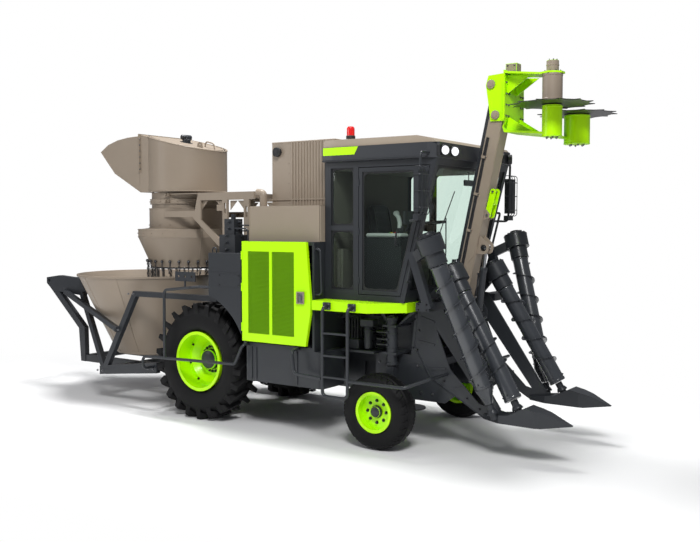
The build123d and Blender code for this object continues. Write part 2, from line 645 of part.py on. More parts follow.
# Cab glass: windscreen, left side pane and the quarter panes.
with BuildPart() as cab_glass:
    with BuildSketch(NOSE_SIDE):
        with BuildLine():
            Polyline(
                (front_x(SCREEN_LOW, GLASS_IN + GLASS_T), SCREEN_LOW),
                (front_x(SCREEN_LOW, GLASS_IN), SCREEN_LOW),
                (front_x(OPEN_TOP, GLASS_IN), OPEN_TOP),
                (front_x(OPEN_TOP, GLASS_IN + GLASS_T), OPEN_TOP),
                close=True,
            )
        make_face()
    extrude(amount=CAB_HALF - PILLAR_W, both=True)
    with BuildSketch(NOSE_SIDE.offset(-(CAB_HALF - GLASS_IN))):
        with BuildLine():
            Polyline(*doorway(PILLAR_W, OPEN_LOW, OPEN_TOP, OPEN_REAR), close=True)
        make_face()
    extrude(amount=GLASS_T)
    for side in (-1, 1):
        with BuildSketch(NOSE_SIDE.offset(-side * (CAB_HALF - GLASS_IN))):
            for low, top in quarter_panes:
                with Locations(((QUARTER_REAR + QUARTER_FRONT) / 2.0, (low + top) / 2.0)):
                    Rectangle(QUARTER_FRONT - QUARTER_REAR, top - low)
        extrude(amount=side * GLASS_T)
cab_glass.part.label = "cab_glass"
export_step(cab_glass.part, "parts/cab_glass.step")

# Cab door on the right side, hinged on its rear edge, with its pane.
CAB_DOOR_T = 40.0
CAB_DOOR_GAP = 8.0
CAB_DOOR_FRAME = 45.0
with BuildPart() as cab_door:
    with BuildSketch(NOSE_SIDE.offset(CAB_HALF - CAB_DOOR_T)):
        with BuildLine():
            Polyline(
                *doorway(
                    PILLAR_W + CAB_DOOR_GAP,
                    OPEN_LOW + CAB_DOOR_GAP,
                    OPEN_TOP - CAB_DOOR_GAP,
                    OPEN_REAR + CAB_DOOR_GAP,
                ),
                close=True,
            )
        make_face()
        with BuildLine():
            Polyline(
                *doorway(
                    PILLAR_W + CAB_DOOR_GAP + CAB_DOOR_FRAME,
                    OPEN_LOW + CAB_DOOR_GAP + CAB_DOOR_FRAME,
                    OPEN_TOP - CAB_DOOR_GAP - CAB_DOOR_FRAME,
                    OPEN_REAR + CAB_DOOR_GAP + CAB_DOOR_FRAME,
                ),
                close=True,
            )
        make_face(mode=Mode.SUBTRACT)
    extrude(amount=CAB_DOOR_T)
cab_door.part.label = "cab_door"
export_step(cab_door.part, "parts/cab_door.step")

with BuildPart() as door_glass:
    with BuildSketch(NOSE_SIDE.offset(CAB_HALF - GLASS_IN)):
        with BuildLine():
            Polyline(
                *doorway(
                    PILLAR_W + CAB_DOOR_GAP + CAB_DOOR_FRAME,
                    OPEN_LOW + CAB_DOOR_GAP + CAB_DOOR_FRAME,
                    OPEN_TOP - CAB_DOOR_GAP - CAB_DOOR_FRAME,
                    OPEN_REAR + CAB_DOOR_GAP + CAB_DOOR_FRAME,
                ),
                close=True,
            )
        make_face()
    extrude(amount=GLASS_T)
door_glass.part.label = "door_glass"
export_step(door_glass.part, "parts/door_glass.step")

# Cab roof: a straight band with lamp pods and a cap with rounded long edges and a sloping front.
ROOF_HALF = 950.0
ROOF_FRONT = 690.0
BAND_TOP = 3355.0
CAP_TOP = 3440.0
CAP_ROUND = 30.0
LAMP_R = 45.0
with BuildPart() as roof_cap:
    with BuildSketch(NOSE_SIDE):
        with BuildLine():
            Polyline(
                (CAB_REAR, BAND_TOP - 5.0),
                (ROOF_FRONT - 20.0, BAND_TOP - 5.0),
                (ROOF_FRONT - 60.0, CAP_TOP - 50.0),
                (ROOF_FRONT - 260.0, CAP_TOP - 5.0),
                (CAB_REAR, CAP_TOP),
                close=True,
            )
        make_face()
    extrude(amount=ROOF_HALF - 25.0, both=True)
    long_edges = roof_cap.edges().group_by(Axis.Z)[-1].sort_by(Axis.Y)
    fillet([long_edges[0], long_edges[-1]], radius=CAP_ROUND)
with BuildPart() as cab_roof:
    add(roof_cap.part)
    with BuildSketch(NOSE_PLAN.offset(CAB_TOP)):
        with BuildLine():
            Polyline(
                (CAB_REAR, -ROOF_HALF),
                (ROOF_FRONT - 120.0, -ROOF_HALF),
                (ROOF_FRONT, -ROOF_HALF + 60.0),
                (ROOF_FRONT, ROOF_HALF - 60.0),
                (ROOF_FRONT - 120.0, ROOF_HALF),
                (CAB_REAR, ROOF_HALF),
                close=True,
            )
        make_face()
    extrude(amount=BAND_TOP - CAB_TOP)
    for offset in (-820.0, -600.0, 600.0, 820.0):
        with BuildSketch(Plane(origin=ahead(ROOF_FRONT, offset, 3265.0), x_dir=(0, 1, 0), z_dir=(1, 0, 0))):
            Circle(LAMP_R)
        extrude(amount=15.0)
cab_roof.part.label = "cab_roof"
export_step(cab_roof.part, "parts/cab_roof.step")

# Seat: a plain soft body on its pedestal.
FLOOR_Z = PLATFORM_TOP + CAB_WALL
SEAT_Z = 2130.0
with BuildPart() as seat_cushion:
    with BuildSketch(NOSE_SIDE):
        with BuildLine():
            Polyline(
                (-630.0, SEAT_Z),
                (-160.0, SEAT_Z),
                (-160.0, SEAT_Z + 110.0),
                (-530.0, SEAT_Z + 100.0),
                (-610.0, SEAT_Z + 600.0),
                (-720.0, SEAT_Z + 600.0),
                close=True,
            )
        make_face()
    extrude(amount=240.0, both=True)
seat_cushion.part.label = "seat_cushion"
export_step(seat_cushion.part, "parts/seat_cushion.step")

# Cab fittings: seat pedestal, control console and steering column, each standing on the floor.
COLUMN_FOOT = ahead(150.0, 0, FLOOR_Z + 20.0)
COLUMN_HEAD = ahead(80.0, 0, 2485.0)
WHEEL_R = 190.0
with BuildPart() as cab_fittings:
    with Locations(ahead(-410.0, 0, (FLOOR_Z + SEAT_Z) / 2.0)):
        Box(340.0, 380.0, SEAT_Z - FLOOR_Z)
    with Locations(ahead(-300.0, -370.0, (FLOOR_Z + 2330.0) / 2.0)):
        Box(520.0, 180.0, 2330.0 - FLOOR_Z)
    with BuildSketch(along(ahead(-100.0, -370.0, 2310.0), ahead(-80.0, -370.0, 2450.0))):
        Circle(16.0)
    extrude(amount=150.0)
    with BuildSketch(NOSE_PLAN.offset(FLOOR_Z)):
        with Locations((150.0, 0)):
            Circle(60.0)
    extrude(amount=30.0)
    with BuildSketch(along(COLUMN_FOOT, COLUMN_HEAD)):
        Circle(34.0)
    extrude(amount=(COLUMN_HEAD - COLUMN_FOOT).length)
    with BuildSketch(along(COLUMN_FOOT, COLUMN_HEAD).offset((COLUMN_HEAD - COLUMN_FOOT).length)):
        Circle(WHEEL_R)
        Circle(WHEEL_R - 26.0, mode=Mode.SUBTRACT)
        for angle in (0.0, 60.0, 120.0):
            Rectangle(2.0 * WHEEL_R - 26.0, 30.0, rotation=angle)
    extrude(amount=26.0)
cab_fittings.part.label = "cab_fittings"
export_step(cab_fittings.part, "parts/cab_fittings.step")

# Mirrors: one bent arm each side with a tall mirror case on it.
MIRROR_Y = ROOF_HALF + 170.0
with BuildPart() as mirrors:
    for side in (-1, 1):
        with BuildLine() as mirror_path:
            FilletPolyline(
                ahead(590.0, side * ROOF_HALF, 3240.0),
                ahead(590.0, side * MIRROR_Y, 3240.0),
                ahead(570.0, side * MIRROR_Y, 2520.0),
                ahead(450.0, side * MIRROR_Y, 2520.0),
                ahead(450.0, side * CAB_HALF, 2520.0),
                radius=50.0,
            )
        with BuildSketch(sideways(mirror_path.line @ 0, side)):
            Circle(14.0)
        sweep(path=mirror_path.line)
        with Locations(ahead(590.0, side * MIRROR_Y, 2830.0)):
            Box(60.0, 190.0, 430.0)
        with Locations(ahead(572.0, side * MIRROR_Y, 2560.0)):
            Box(60.0, 150.0, 60.0)
mirrors.part.label = "mirrors"
export_step(mirrors.part, "parts/mirrors.step")

# Valve stack on the right of the rear body.
with BuildPart() as valve_stack:
    with Locations(at(REAR_BODY_X + 150.0, -BODY_HALF + 300.0, REAR_BODY_TOP + 110.0)):
        Box(260.0, 240.0, 220.0)
    with Locations(at(REAR_BODY_X + 150.0, -BODY_HALF + 300.0, REAR_BODY_TOP + 320.0)):
        Box(160.0, 160.0, 200.0)
    with BuildSketch(PLAN.offset(REAR_BODY_TOP + 420.0)):
        with Locations((REAR_BODY_X + 150.0, -BODY_HALF + 300.0)):
            Circle(30.0)
    extrude(amount=60.0)
valve_stack.part.label = "valve_stack"
export_step(valve_stack.part, "parts/valve_stack.step")

# Extractor tower: a hollow barrel on a cone over the bowl, held by two side plates from the body.
TOWER_X = -1220.0
BARREL_R = 540.0
BARREL_LOW = 2430.0
BARREL_TOP = 2700.0
RING_R = 505.0
RING_TOP = 2925.0
COLLAR_R = 700.0
COLLAR_LOW = 2300.0
COLLAR_TOP = 2410.0
CONE_R = 520.0
CONE_LOW = 1890.0
SHEET = 12.0
ARM_Y = 525.0
ARM_T = 30.0
ARM_END = 420.0
POST_W = 90.0
ARM_SHELF = RING_TOP - 35.0
with BuildPart() as extractor_tower:
    with BuildSketch(Plane.XZ):
        with BuildLine():
            Polyline(
                (CONE_R - SHEET, CONE_LOW),
                (CONE_R, CONE_LOW),
                (COLLAR_R, COLLAR_LOW),
                (COLLAR_R, COLLAR_TOP),
                (BARREL_R, COLLAR_TOP + 20.0),
                (BARREL_R, BARREL_TOP),
                (RING_R, BARREL_TOP),
                (RING_R, BARREL_TOP + 70.0),
                (RING_R + 20.0, BARREL_TOP + 70.0),
                (RING_R + 20.0, BARREL_TOP + 130.0),
                (RING_R, BARREL_TOP + 130.0),
                (RING_R, RING_TOP),
                (RING_R - SHEET, RING_TOP),
                (RING_R - SHEET, COLLAR_TOP),
                (COLLAR_R - SHEET, COLLAR_TOP - SHEET),
                (COLLAR_R - SHEET, COLLAR_LOW),
                close=True,
            )
        make_face()
    revolve(axis=Axis.Z)
extractor_barrel = extractor_tower.part.moved(Location(at(TOWER_X, 0, 0)))
with BuildPart() as extractor_tower:
    add(extractor_barrel)
    for side in (-1, 1):
        with BuildSketch(SIDE.offset(-side * ARM_Y)):
            with BuildLine():
                Polyline(
                    (ARM_END, REAR_BODY_TOP),
                    (20.0, REAR_BODY_TOP),
                    (-120.0, REAR_BODY_TOP + 70.0),
                    (-590.0, BARREL_TOP - 120.0),
                    (TOWER_X + 100.0, BARREL_TOP - 120.0),
                    (TOWER_X + 100.0, BARREL_TOP - 40.0),
                    (-540.0, BARREL_TOP - 40.0),
                    (-480.0, ARM_SHELF),
                    (-480.0, ARM_SHELF + SHEET),
                    (ARM_END + 80.0, ARM_SHELF + SHEET),
                    (ARM_END + 90.0, RING_TOP - 115.0),
                    (ARM_END, RING_TOP - 125.0),
                    close=True,
                )
            make_face()
            with BuildLine():
                Polyline(
                    (-430.0, RING_TOP - 125.0),
                    (-40.0, RING_TOP - 125.0),
                    (-40.0, REAR_BODY_TOP + 120.0),
                    (-430.0, BARREL_TOP - 160.0),
                    close=True,
                )
            make_face(mode=Mode.SUBTRACT)
            with BuildLine():
                Polyline(
                    (-40.0 + POST_W, RING_TOP - 125.0),
                    (ARM_END - POST_W, RING_TOP - 125.0),
                    (ARM_END - POST_W, REAR_BODY_TOP + 90.0),
                    (-40.0 + POST_W, REAR_BODY_TOP + 90.0),
                    close=True,
                )
            make_face(mode=Mode.SUBTRACT)
            with Locations((-40.0 + POST_W / 2.0, 2690.0), (ARM_END - POST_W / 2.0, 2640.0)):
                SlotOverall(150.0, 34.0, rotation=90.0, mode=Mode.SUBTRACT)
        extrude(amount=-side * ARM_T)
    with BuildSketch(PLAN.offset(ARM_SHELF)):
        with BuildLine():
            Polyline(
                (TOWER_X, -RING_R),
                (TOWER_X + 300.0, -ARM_Y),
                (-150.0, -ARM_Y),
                (-150.0, ARM_Y),
                (TOWER_X + 300.0, ARM_Y),
                (TOWER_X, RING_R),
                close=True,
            )
        make_face()
    extrude(amount=SHEET)
    with BuildSketch(PLAN):
        with Locations((TOWER_X, 0)):
            Circle(RING_R - SHEET)
    extrude(amount=RING_TOP, mode=Mode.SUBTRACT)
    with Locations(at(ARM_END - 40.0, 0, 2850.0), at(ARM_END - 40.0, 0, REAR_BODY_TOP + 30.0)):
        Box(60.0, 2.0 * ARM_Y, 60.0)
    with BuildSketch(PLAN.offset(2610.0)):
        with Locations((TOWER_X, 0)):
            Rectangle(80.0, 2.0 * RING_R)
    extrude(amount=60.0)
    with BuildSketch(PLAN.offset(2610.0)):
        with Locations((TOWER_X, 0)):
            Circle(90.0)
    extrude(amount=100.0)
extractor_tower.part.label = "extractor_tower"
export_step(extractor_tower.part, "parts/extractor_tower.step")

# Extractor fan on its hub above the cross bar.
FAN_LOW = BARREL_TOP + 10.0 + RUNNING_GAP
FAN_R = 470.0
with BuildPart() as extractor_fan:
    with BuildSketch(PLAN.offset(FAN_LOW)):
        with Locations((TOWER_X, 0)):
            Circle(95.0)
    extrude(amount=120.0)
    for blade in range(4):
        with Locations(Location(at(TOWER_X, 0, FAN_LOW + 60.0), (0, 0, 90.0 * blade))):
            with Locations(Location((FAN_R / 2.0 + 30.0, 0, 0), (25.0, 0, 0))):
                Box(FAN_R - 60.0, 180.0, 10.0)
extractor_fan.part.label = "extractor_fan"
export_step(extractor_fan.part, "parts/extractor_fan.step")

# Extractor hood: a drum with a boxed spout to the rear, turning on the tower's ring.
HOOD_R = 565.0
HOOD_LOW = RING_TOP + RUNNING_GAP
SPOUT_HALF = 500.0
SEAM_X = -1650.0
SEAM_LOW = 3215.0
SEAM_TOP = 3745.0
SEAM_OUT = 30.0
hood_side = (
    (TOWER_X, HOOD_LOW),
    (-620.0, HOOD_LOW),
    (-620.0, 3490.0),
    (-1650.0, 3745.0),
    (-1660.0, 3720.0),
    (-1900.0, 3712.0),
    (-2120.0, 3684.0),
    (-2320.0, 3628.0),
    (-2480.0, 3535.0),
    (-2180.0, 3215.0),
    (-1640.0, HOOD_LOW),
)
hood_hollow = (
    (TOWER_X, HOOD_LOW - 10.0),
    (-620.0, HOOD_LOW - 10.0),
    (-620.0, 3478.0),
    (-1640.0, 3732.0),
    (-1650.0, 3708.0),
    (-1898.0, 3700.0),
    (-2117.0, 3672.0),
    (-2314.0, 3617.0),
    (-2560.0, 3475.0),
    (-2220.0, 3190.0),
    (-2150.0, 3230.0),
    (-1640.0, HOOD_LOW + SHEET),
    (TOWER_X, HOOD_LOW + SHEET),
)
hood_forms = []
for outline, radius, half in (
    (hood_side, HOOD_R, SPOUT_HALF),
    (hood_hollow, HOOD_R - SHEET, SPOUT_HALF - SHEET),
):
    with BuildPart() as hood_form:
        with BuildSketch(SIDE):
            with BuildLine():
                Polyline(*outline, close=True)
            make_face()
        extrude(amount=HOOD_R, both=True)
        with BuildSketch(PLAN):
            with Locations((TOWER_X, 0)):
                Circle(radius)
            with Locations((TOWER_X - 700.0, 0)):
                Rectangle(1400.0, 2.0 * half)
        extrude(amount=4000.0, mode=Mode.INTERSECT)
    hood_forms.append(hood_form.part)
with BuildPart() as extractor_hood:
    add(hood_forms[0])
    for side in (-1, 1):
        with Locations(at(SEAM_X, side * SPOUT_HALF, (SEAM_LOW + SEAM_TOP) / 2.0)):
            Box(14.0, 2.0 * SEAM_OUT, SEAM_TOP - SEAM_LOW)
    with Locations(at(SEAM_X, 0, SEAM_TOP - 20.0)):
        Box(14.0, 2.0 * (SPOUT_HALF + SEAM_OUT), 2.0 * SEAM_OUT)
    add(hood_forms[1], mode=Mode.SUBTRACT)
    with BuildSketch(PLAN.offset(HOOD_LOW)):
        with Locations((TOWER_X, 0)):
            Circle(RING_R - SHEET)
    extrude(amount=SHEET, mode=Mode.SUBTRACT)
extractor_hood.part.label = "extractor_hood"
export_step(extractor_hood.part, "parts/extractor_hood.step")

# Collecting bowl: an open leaning cone of sheet steel with a rolled rim.
BOWL_X = -2000.0
BOWL_R = 1050.0
BOWL_TOP = 1755.0
BOWL_BASE_X = -1850.0
BOWL_BASE_R = 600.0
BOWL_LOW = 620.0
BOWL_T = 10.0
with BuildPart() as bowl:
    with BuildSketch(PLAN.offset(BOWL_LOW)):
        with Locations((BOWL_BASE_X, 0)):
            Circle(BOWL_BASE_R)
    with BuildSketch(PLAN.offset(BOWL_TOP)):
        with Locations((BOWL_X, 0)):
            Circle(BOWL_R)
    loft(ruled=True)
    with BuildSketch(PLAN.offset(BOWL_TOP - 25.0)):
        with Locations((BOWL_X, 0)):
            Circle(BOWL_R + 12.0)
    extrude(amount=25.0)
    with BuildSketch(PLAN.offset(BOWL_LOW + BOWL_T)):
        with Locations((BOWL_BASE_X, 0)):
            Circle(BOWL_BASE_R - BOWL_T)
    with BuildSketch(PLAN.offset(BOWL_TOP + 1.0)):
        with Locations((BOWL_X, 0)):
            Circle(BOWL_R - BOWL_T)
    loft(ruled=True, mode=Mode.SUBTRACT)
bowl.part.label = "bowl"
export_step(bowl.part, "parts/bowl.step")

# Chain curtain: strands of links, each turned a quarter from the one above, on a ring under the cone.
# Those over the bowl hang down into it and the others end above its rim.
CURTAIN_R = 500.0
STRANDS = 28
LINKS_LONG = 5
LINKS_SHORT = 2
LINK_H = 34.0
LINK_W = 24.0
LINK_T = 8.0
with BuildPart() as chain_curtain:
    with BuildSketch(PLAN.offset(CONE_LOW - 30.0)):
        with Locations((TOWER_X, 0)):
            Circle(CURTAIN_R + 12.0)
            Circle(CURTAIN_R - 12.0, mode=Mode.SUBTRACT)
    extrude(amount=30.0)
    for strand in range(STRANDS):
        turn = strand * 360.0 / STRANDS
        top = at(TOWER_X + CURTAIN_R * cos(radians(turn)), CURTAIN_R * sin(radians(turn)), CONE_LOW - 30.0)
        over_bowl = (top - at(BOWL_X, 0, CONE_LOW - 30.0)).length < BOWL_R - 60.0
        for link in range(LINKS_LONG if over_bowl else LINKS_SHORT):
            middle = top - Vector(0, 0, (link + 0.5) * LINK_H)
            with Locations(Location(middle, (0, 0, turn + 90.0 * (link % 2)))):
                Box(LINK_T, LINK_W, LINK_H)
chain_curtain.part.label = "chain_curtain"
export_step(chain_curtain.part, "parts/chain_curtain.step")

# Rear frame: tail beams, side struts round the bowl and the hinge heads behind it.
TAIL_IN = 380.0
TAIL_OUT = 450.0
TAIL_END = -3060.0
STRUT = 70.0
STRUT_Y = STRUT_OUT - STRUT / 2.0
V_FOOT = (-1880.0, 450.0)
V_KNEE = (-1230.0, 1545.0)
HEAD_Y = 420.0
HEAD_T = 80.0
HEAD_RISE = 1605.0
HEAD_BORE_R = 25.0
with BuildPart() as hinge_heads:
    for side in (-1, 1):
        with BuildSketch(SIDE.offset(-side * (HEAD_Y - HEAD_T / 2.0))):
            with BuildLine():
                Polyline(
                    (REAR_TIP, 1560.0),
                    (-3780.0, 1500.0),
                    (-3100.0, 900.0),
                    (TAIL_END, TAIL_LOW),
                    (TAIL_END + 100.0, TAIL_LOW),
                    (-2970.0, 920.0),
                    (-3560.0, 1440.0),
                    (-3000.0, 1400.0),
                    (-2940.0, 1480.0),
                    (-3060.0, 1660.0),
                    (-3560.0, 1690.0),
                    (REAR_TIP, 1650.0),
                    close=True,
                )
            make_face()
            with Locations((REAR_TIP + 60.0, HEAD_RISE)):
                Circle(HEAD_BORE_R, mode=Mode.SUBTRACT)
        extrude(amount=-side * HEAD_T)
    for station, height in (
        (TAIL_END + 50.0, TAIL_LOW + 50.0),
        (-3040.0, HEAD_RISE - 5.0),
        (-3650.0, HEAD_RISE - 5.0),
    ):
        with Locations(at(station, 0, height)):
            Box(80.0, 2.0 * HEAD_Y, 80.0)
hinge_heads.part.label = "hinge_heads"
export_step(hinge_heads.part, "parts/hinge_heads.step")

with BuildPart() as rear_frame:
    for side in (-1, 1):
        tail_y = side * (TAIL_IN + TAIL_OUT) / 2.0
        with Locations(at((TAIL_END + RAIL_REAR) / 2.0, tail_y, (TAIL_LOW + TAIL_TOP) / 2.0)):
            Box(RAIL_REAR - TAIL_END, TAIL_OUT - TAIL_IN, TAIL_TOP - TAIL_LOW)
        with BuildSketch(SIDE.offset(-side * (STRUT_Y - STRUT / 2.0))):
            with BuildLine():
                Polyline(
                    (-1960.0, 380.0),
                    (-820.0, 500.0),
                    (-820.0, 640.0),
                    (-1500.0, 560.0),
                    (-1800.0, 520.0),
                    (-1960.0, 500.0),
                    close=True,
                )
            make_face()
        extrude(amount=-side * STRUT)
        with Locations(at(-870.0, side * (RAIL_OUT + STRUT_Y) / 2.0, 560.0)):
            Box(80.0, STRUT_Y - RAIL_OUT, 80.0)
        foot = at(V_FOOT[0], side * STRUT_Y, V_FOOT[1])
        knee = at(V_KNEE[0], side * STRUT_Y, V_KNEE[1])
        with BuildSketch(along(foot, knee)):
            Rectangle(STRUT, STRUT + 10.0)
        extrude(amount=(knee - foot).length)
        with Locations(at((V_KNEE[0] - 30.0 + REAR_BODY_X) / 2.0, side * STRUT_Y, V_KNEE[1])):
            Box(REAR_BODY_X - V_KNEE[0] + 30.0, STRUT, STRUT)
        head_low = at(-2990.0, side * (HEAD_Y + HEAD_T / 2.0), 1430.0)
        with BuildSketch(along(foot, head_low)):
            Rectangle(STRUT, STRUT + 10.0)
        extrude(amount=(head_low - foot).length)
        brace_end = at(-1545.0, side * (STRUT_Y + 60.0), 1040.0)
        brace_start = at(-3400.0, side * (HEAD_Y + HEAD_T / 2.0 + 10.0), 1450.0)
        with BuildSketch(along(brace_start, brace_end)):
            Rectangle(STRUT - 10.0, STRUT)
        extrude(amount=(brace_end - brace_start).length)
    with Locations(at(-1850.0, 0, (TAIL_LOW + TAIL_TOP) / 2.0)):
        Box(80.0, 2.0 * STRUT_Y, 80.0)
    add(hinge_heads.part, mode=Mode.SUBTRACT)
rear_frame.part.label = "rear_frame"
export_step(rear_frame.part, "parts/rear_frame.step")

# Scrolls: four tall driven screws that part the cane, an outer and an inner one on each divider.
SCROLL_IN_TOP = (681.0, 531.0, 1922.0)
SCROLL_IN_FOOT = (1493.0, 635.0, 552.0)
SCROLL_OUT_TOP = (698.0, 1090.0, 2270.0)
SCROLL_OUT_FOOT = (1260.0, 745.0, 500.0)
SCROLL_R = 92.0
FLIGHT_R = 124.0
FLIGHT_T = 10.0
FLIGHT_PITCH = 250.0
HOUSING_R = 142.0
HOUSING_HALF = 85.0
COLLAR_R = 108.0
COLLAR_L = 140.0
MOTOR_L = 50.0
FOOT_PIN_R = 40.0
FOOT_RISE = 110.0
CONE_L = 180.0
FLIGHT_START = 320.0
FLIGHT_MID = (SCROLL_R - 4.0 + FLIGHT_R) / 2.0
scroll_ends = (("inner", SCROLL_IN_TOP, SCROLL_IN_FOOT), ("outer", SCROLL_OUT_TOP, SCROLL_OUT_FOOT))
flights = {}
for kind, top, foot in scroll_ends:
    run = (Vector(*top) - Vector(*foot)).length - HOUSING_HALF - COLLAR_L - RUNNING_GAP - FLIGHT_START - 60.0
    for side in (-1, 1):
        with BuildPart() as flight:
            with BuildLine():
                Helix(FLIGHT_PITCH, run, FLIGHT_MID, center=(0, 0, FLIGHT_START), lefthand=side == 1)
            start = Plane(origin=(FLIGHT_MID, 0, FLIGHT_START), x_dir=(1, 0, 0), z_dir=(0, -side, 0))
            with BuildSketch(start):
                Rectangle(2.0 * (FLIGHT_R - FLIGHT_MID), FLIGHT_T)
            sweep(is_frenet=True)
        flights[(kind, side)] = flight.part
for name, side in (("left", 1), ("right", -1)):
    for kind, top, foot in scroll_ends:
        low = ahead(foot[0], side * foot[1], foot[2])
        high = ahead(top[0], side * top[1], top[2])
        axis_plane = along(low, high)
        length = (high - low).length
        with BuildPart() as scroll:
            tube_end = length - HOUSING_HALF - COLLAR_L - RUNNING_GAP
            tube_start = FOOT_RISE
            if kind == "outer":
                with BuildSketch(axis_plane.offset(FOOT_RISE)):
                    Circle(FOOT_PIN_R)
                with BuildSketch(axis_plane.offset(FOOT_RISE + CONE_L)):
                    Circle(SCROLL_R + 8.0)
                loft(ruled=True)
                tube_start = FOOT_RISE + CONE_L
            with BuildSketch(axis_plane.offset(tube_start)):
                Circle(SCROLL_R)
            extrude(amount=tube_end - tube_start)
            add(flights[(kind, side)].moved(Location(axis_plane)))
        scroll.part.label = f"scroll_{kind}_{name}"
        export_step(scroll.part, f"parts/scroll_{kind}_{name}.step")

# Front frame: cross beams and uprights with the plates that carry the topper boom, its link and its
# lift cylinder, each on a pin.
PLATE_T = 14.0
PLATE_IN = THROAT_OUT - PLATE_T
BEAM_X = 340.0
BEAM_TOP = 1680.0
BOOM_PIVOT = (540.0, 1700.0)
LINK_PIVOT = (485.0, 2040.0)
LIFT_PIVOT = (720.0, 1450.0)
BOOM_HALF = 100.0
LUG_IN = BOOM_HALF + RUNNING_GAP + 1.0
LUG_T = 20.0
PIN_R = 25.0
with BuildPart() as front_frame:
    for low, high in ((BEAM_TOP - 120.0, BEAM_TOP), (RAIL_LOW, RAIL_LOW + 80.0)):
        with Locations(ahead(BEAM_X, 0, (low + high) / 2.0)):
            Box(120.0, 2.0 * PLATE_IN, high - low)
    for side in (-1, 1):
        with Locations(ahead(BEAM_X, side * (RAIL_IN + RAIL_OUT) / 2.0, (RAIL_LOW + BEAM_TOP - 60.0) / 2.0)):
            Box(120.0, RAIL_OUT - RAIL_IN, BEAM_TOP - 60.0 - RAIL_LOW)
        with BuildSketch(NOSE_SIDE.offset(-side * LUG_IN)):
            with BuildLine():
                Polyline(
                    (BEAM_X + 10.0, BEAM_TOP - 120.0),
                    (LIFT_PIVOT[0] - 60.0, LIFT_PIVOT[1] - 50.0),
                    (LIFT_PIVOT[0] + 50.0, LIFT_PIVOT[1] - 50.0),
                    (LIFT_PIVOT[0] + 50.0, LIFT_PIVOT[1] + 50.0),
                    (BOOM_PIVOT[0] + 70.0, BOOM_PIVOT[1] + 60.0),
                    (LINK_PIVOT[0] + 45.0, LINK_PIVOT[1] + 40.0),
                    (LINK_PIVOT[0] - 45.0, LINK_PIVOT[1] + 40.0),
                    (BEAM_X + 40.0, BEAM_TOP),
                    close=True,
                )
            make_face()
        extrude(amount=-side * LUG_T)
    with BuildSketch(NOSE_SIDE):
        with Locations(BOOM_PIVOT, LINK_PIVOT, LIFT_PIVOT):
            Circle(PIN_R)
    extrude(amount=LUG_IN + LUG_T, both=True)
front_frame.part.label = "front_frame"
export_step(front_frame.part, "parts/front_frame.step")

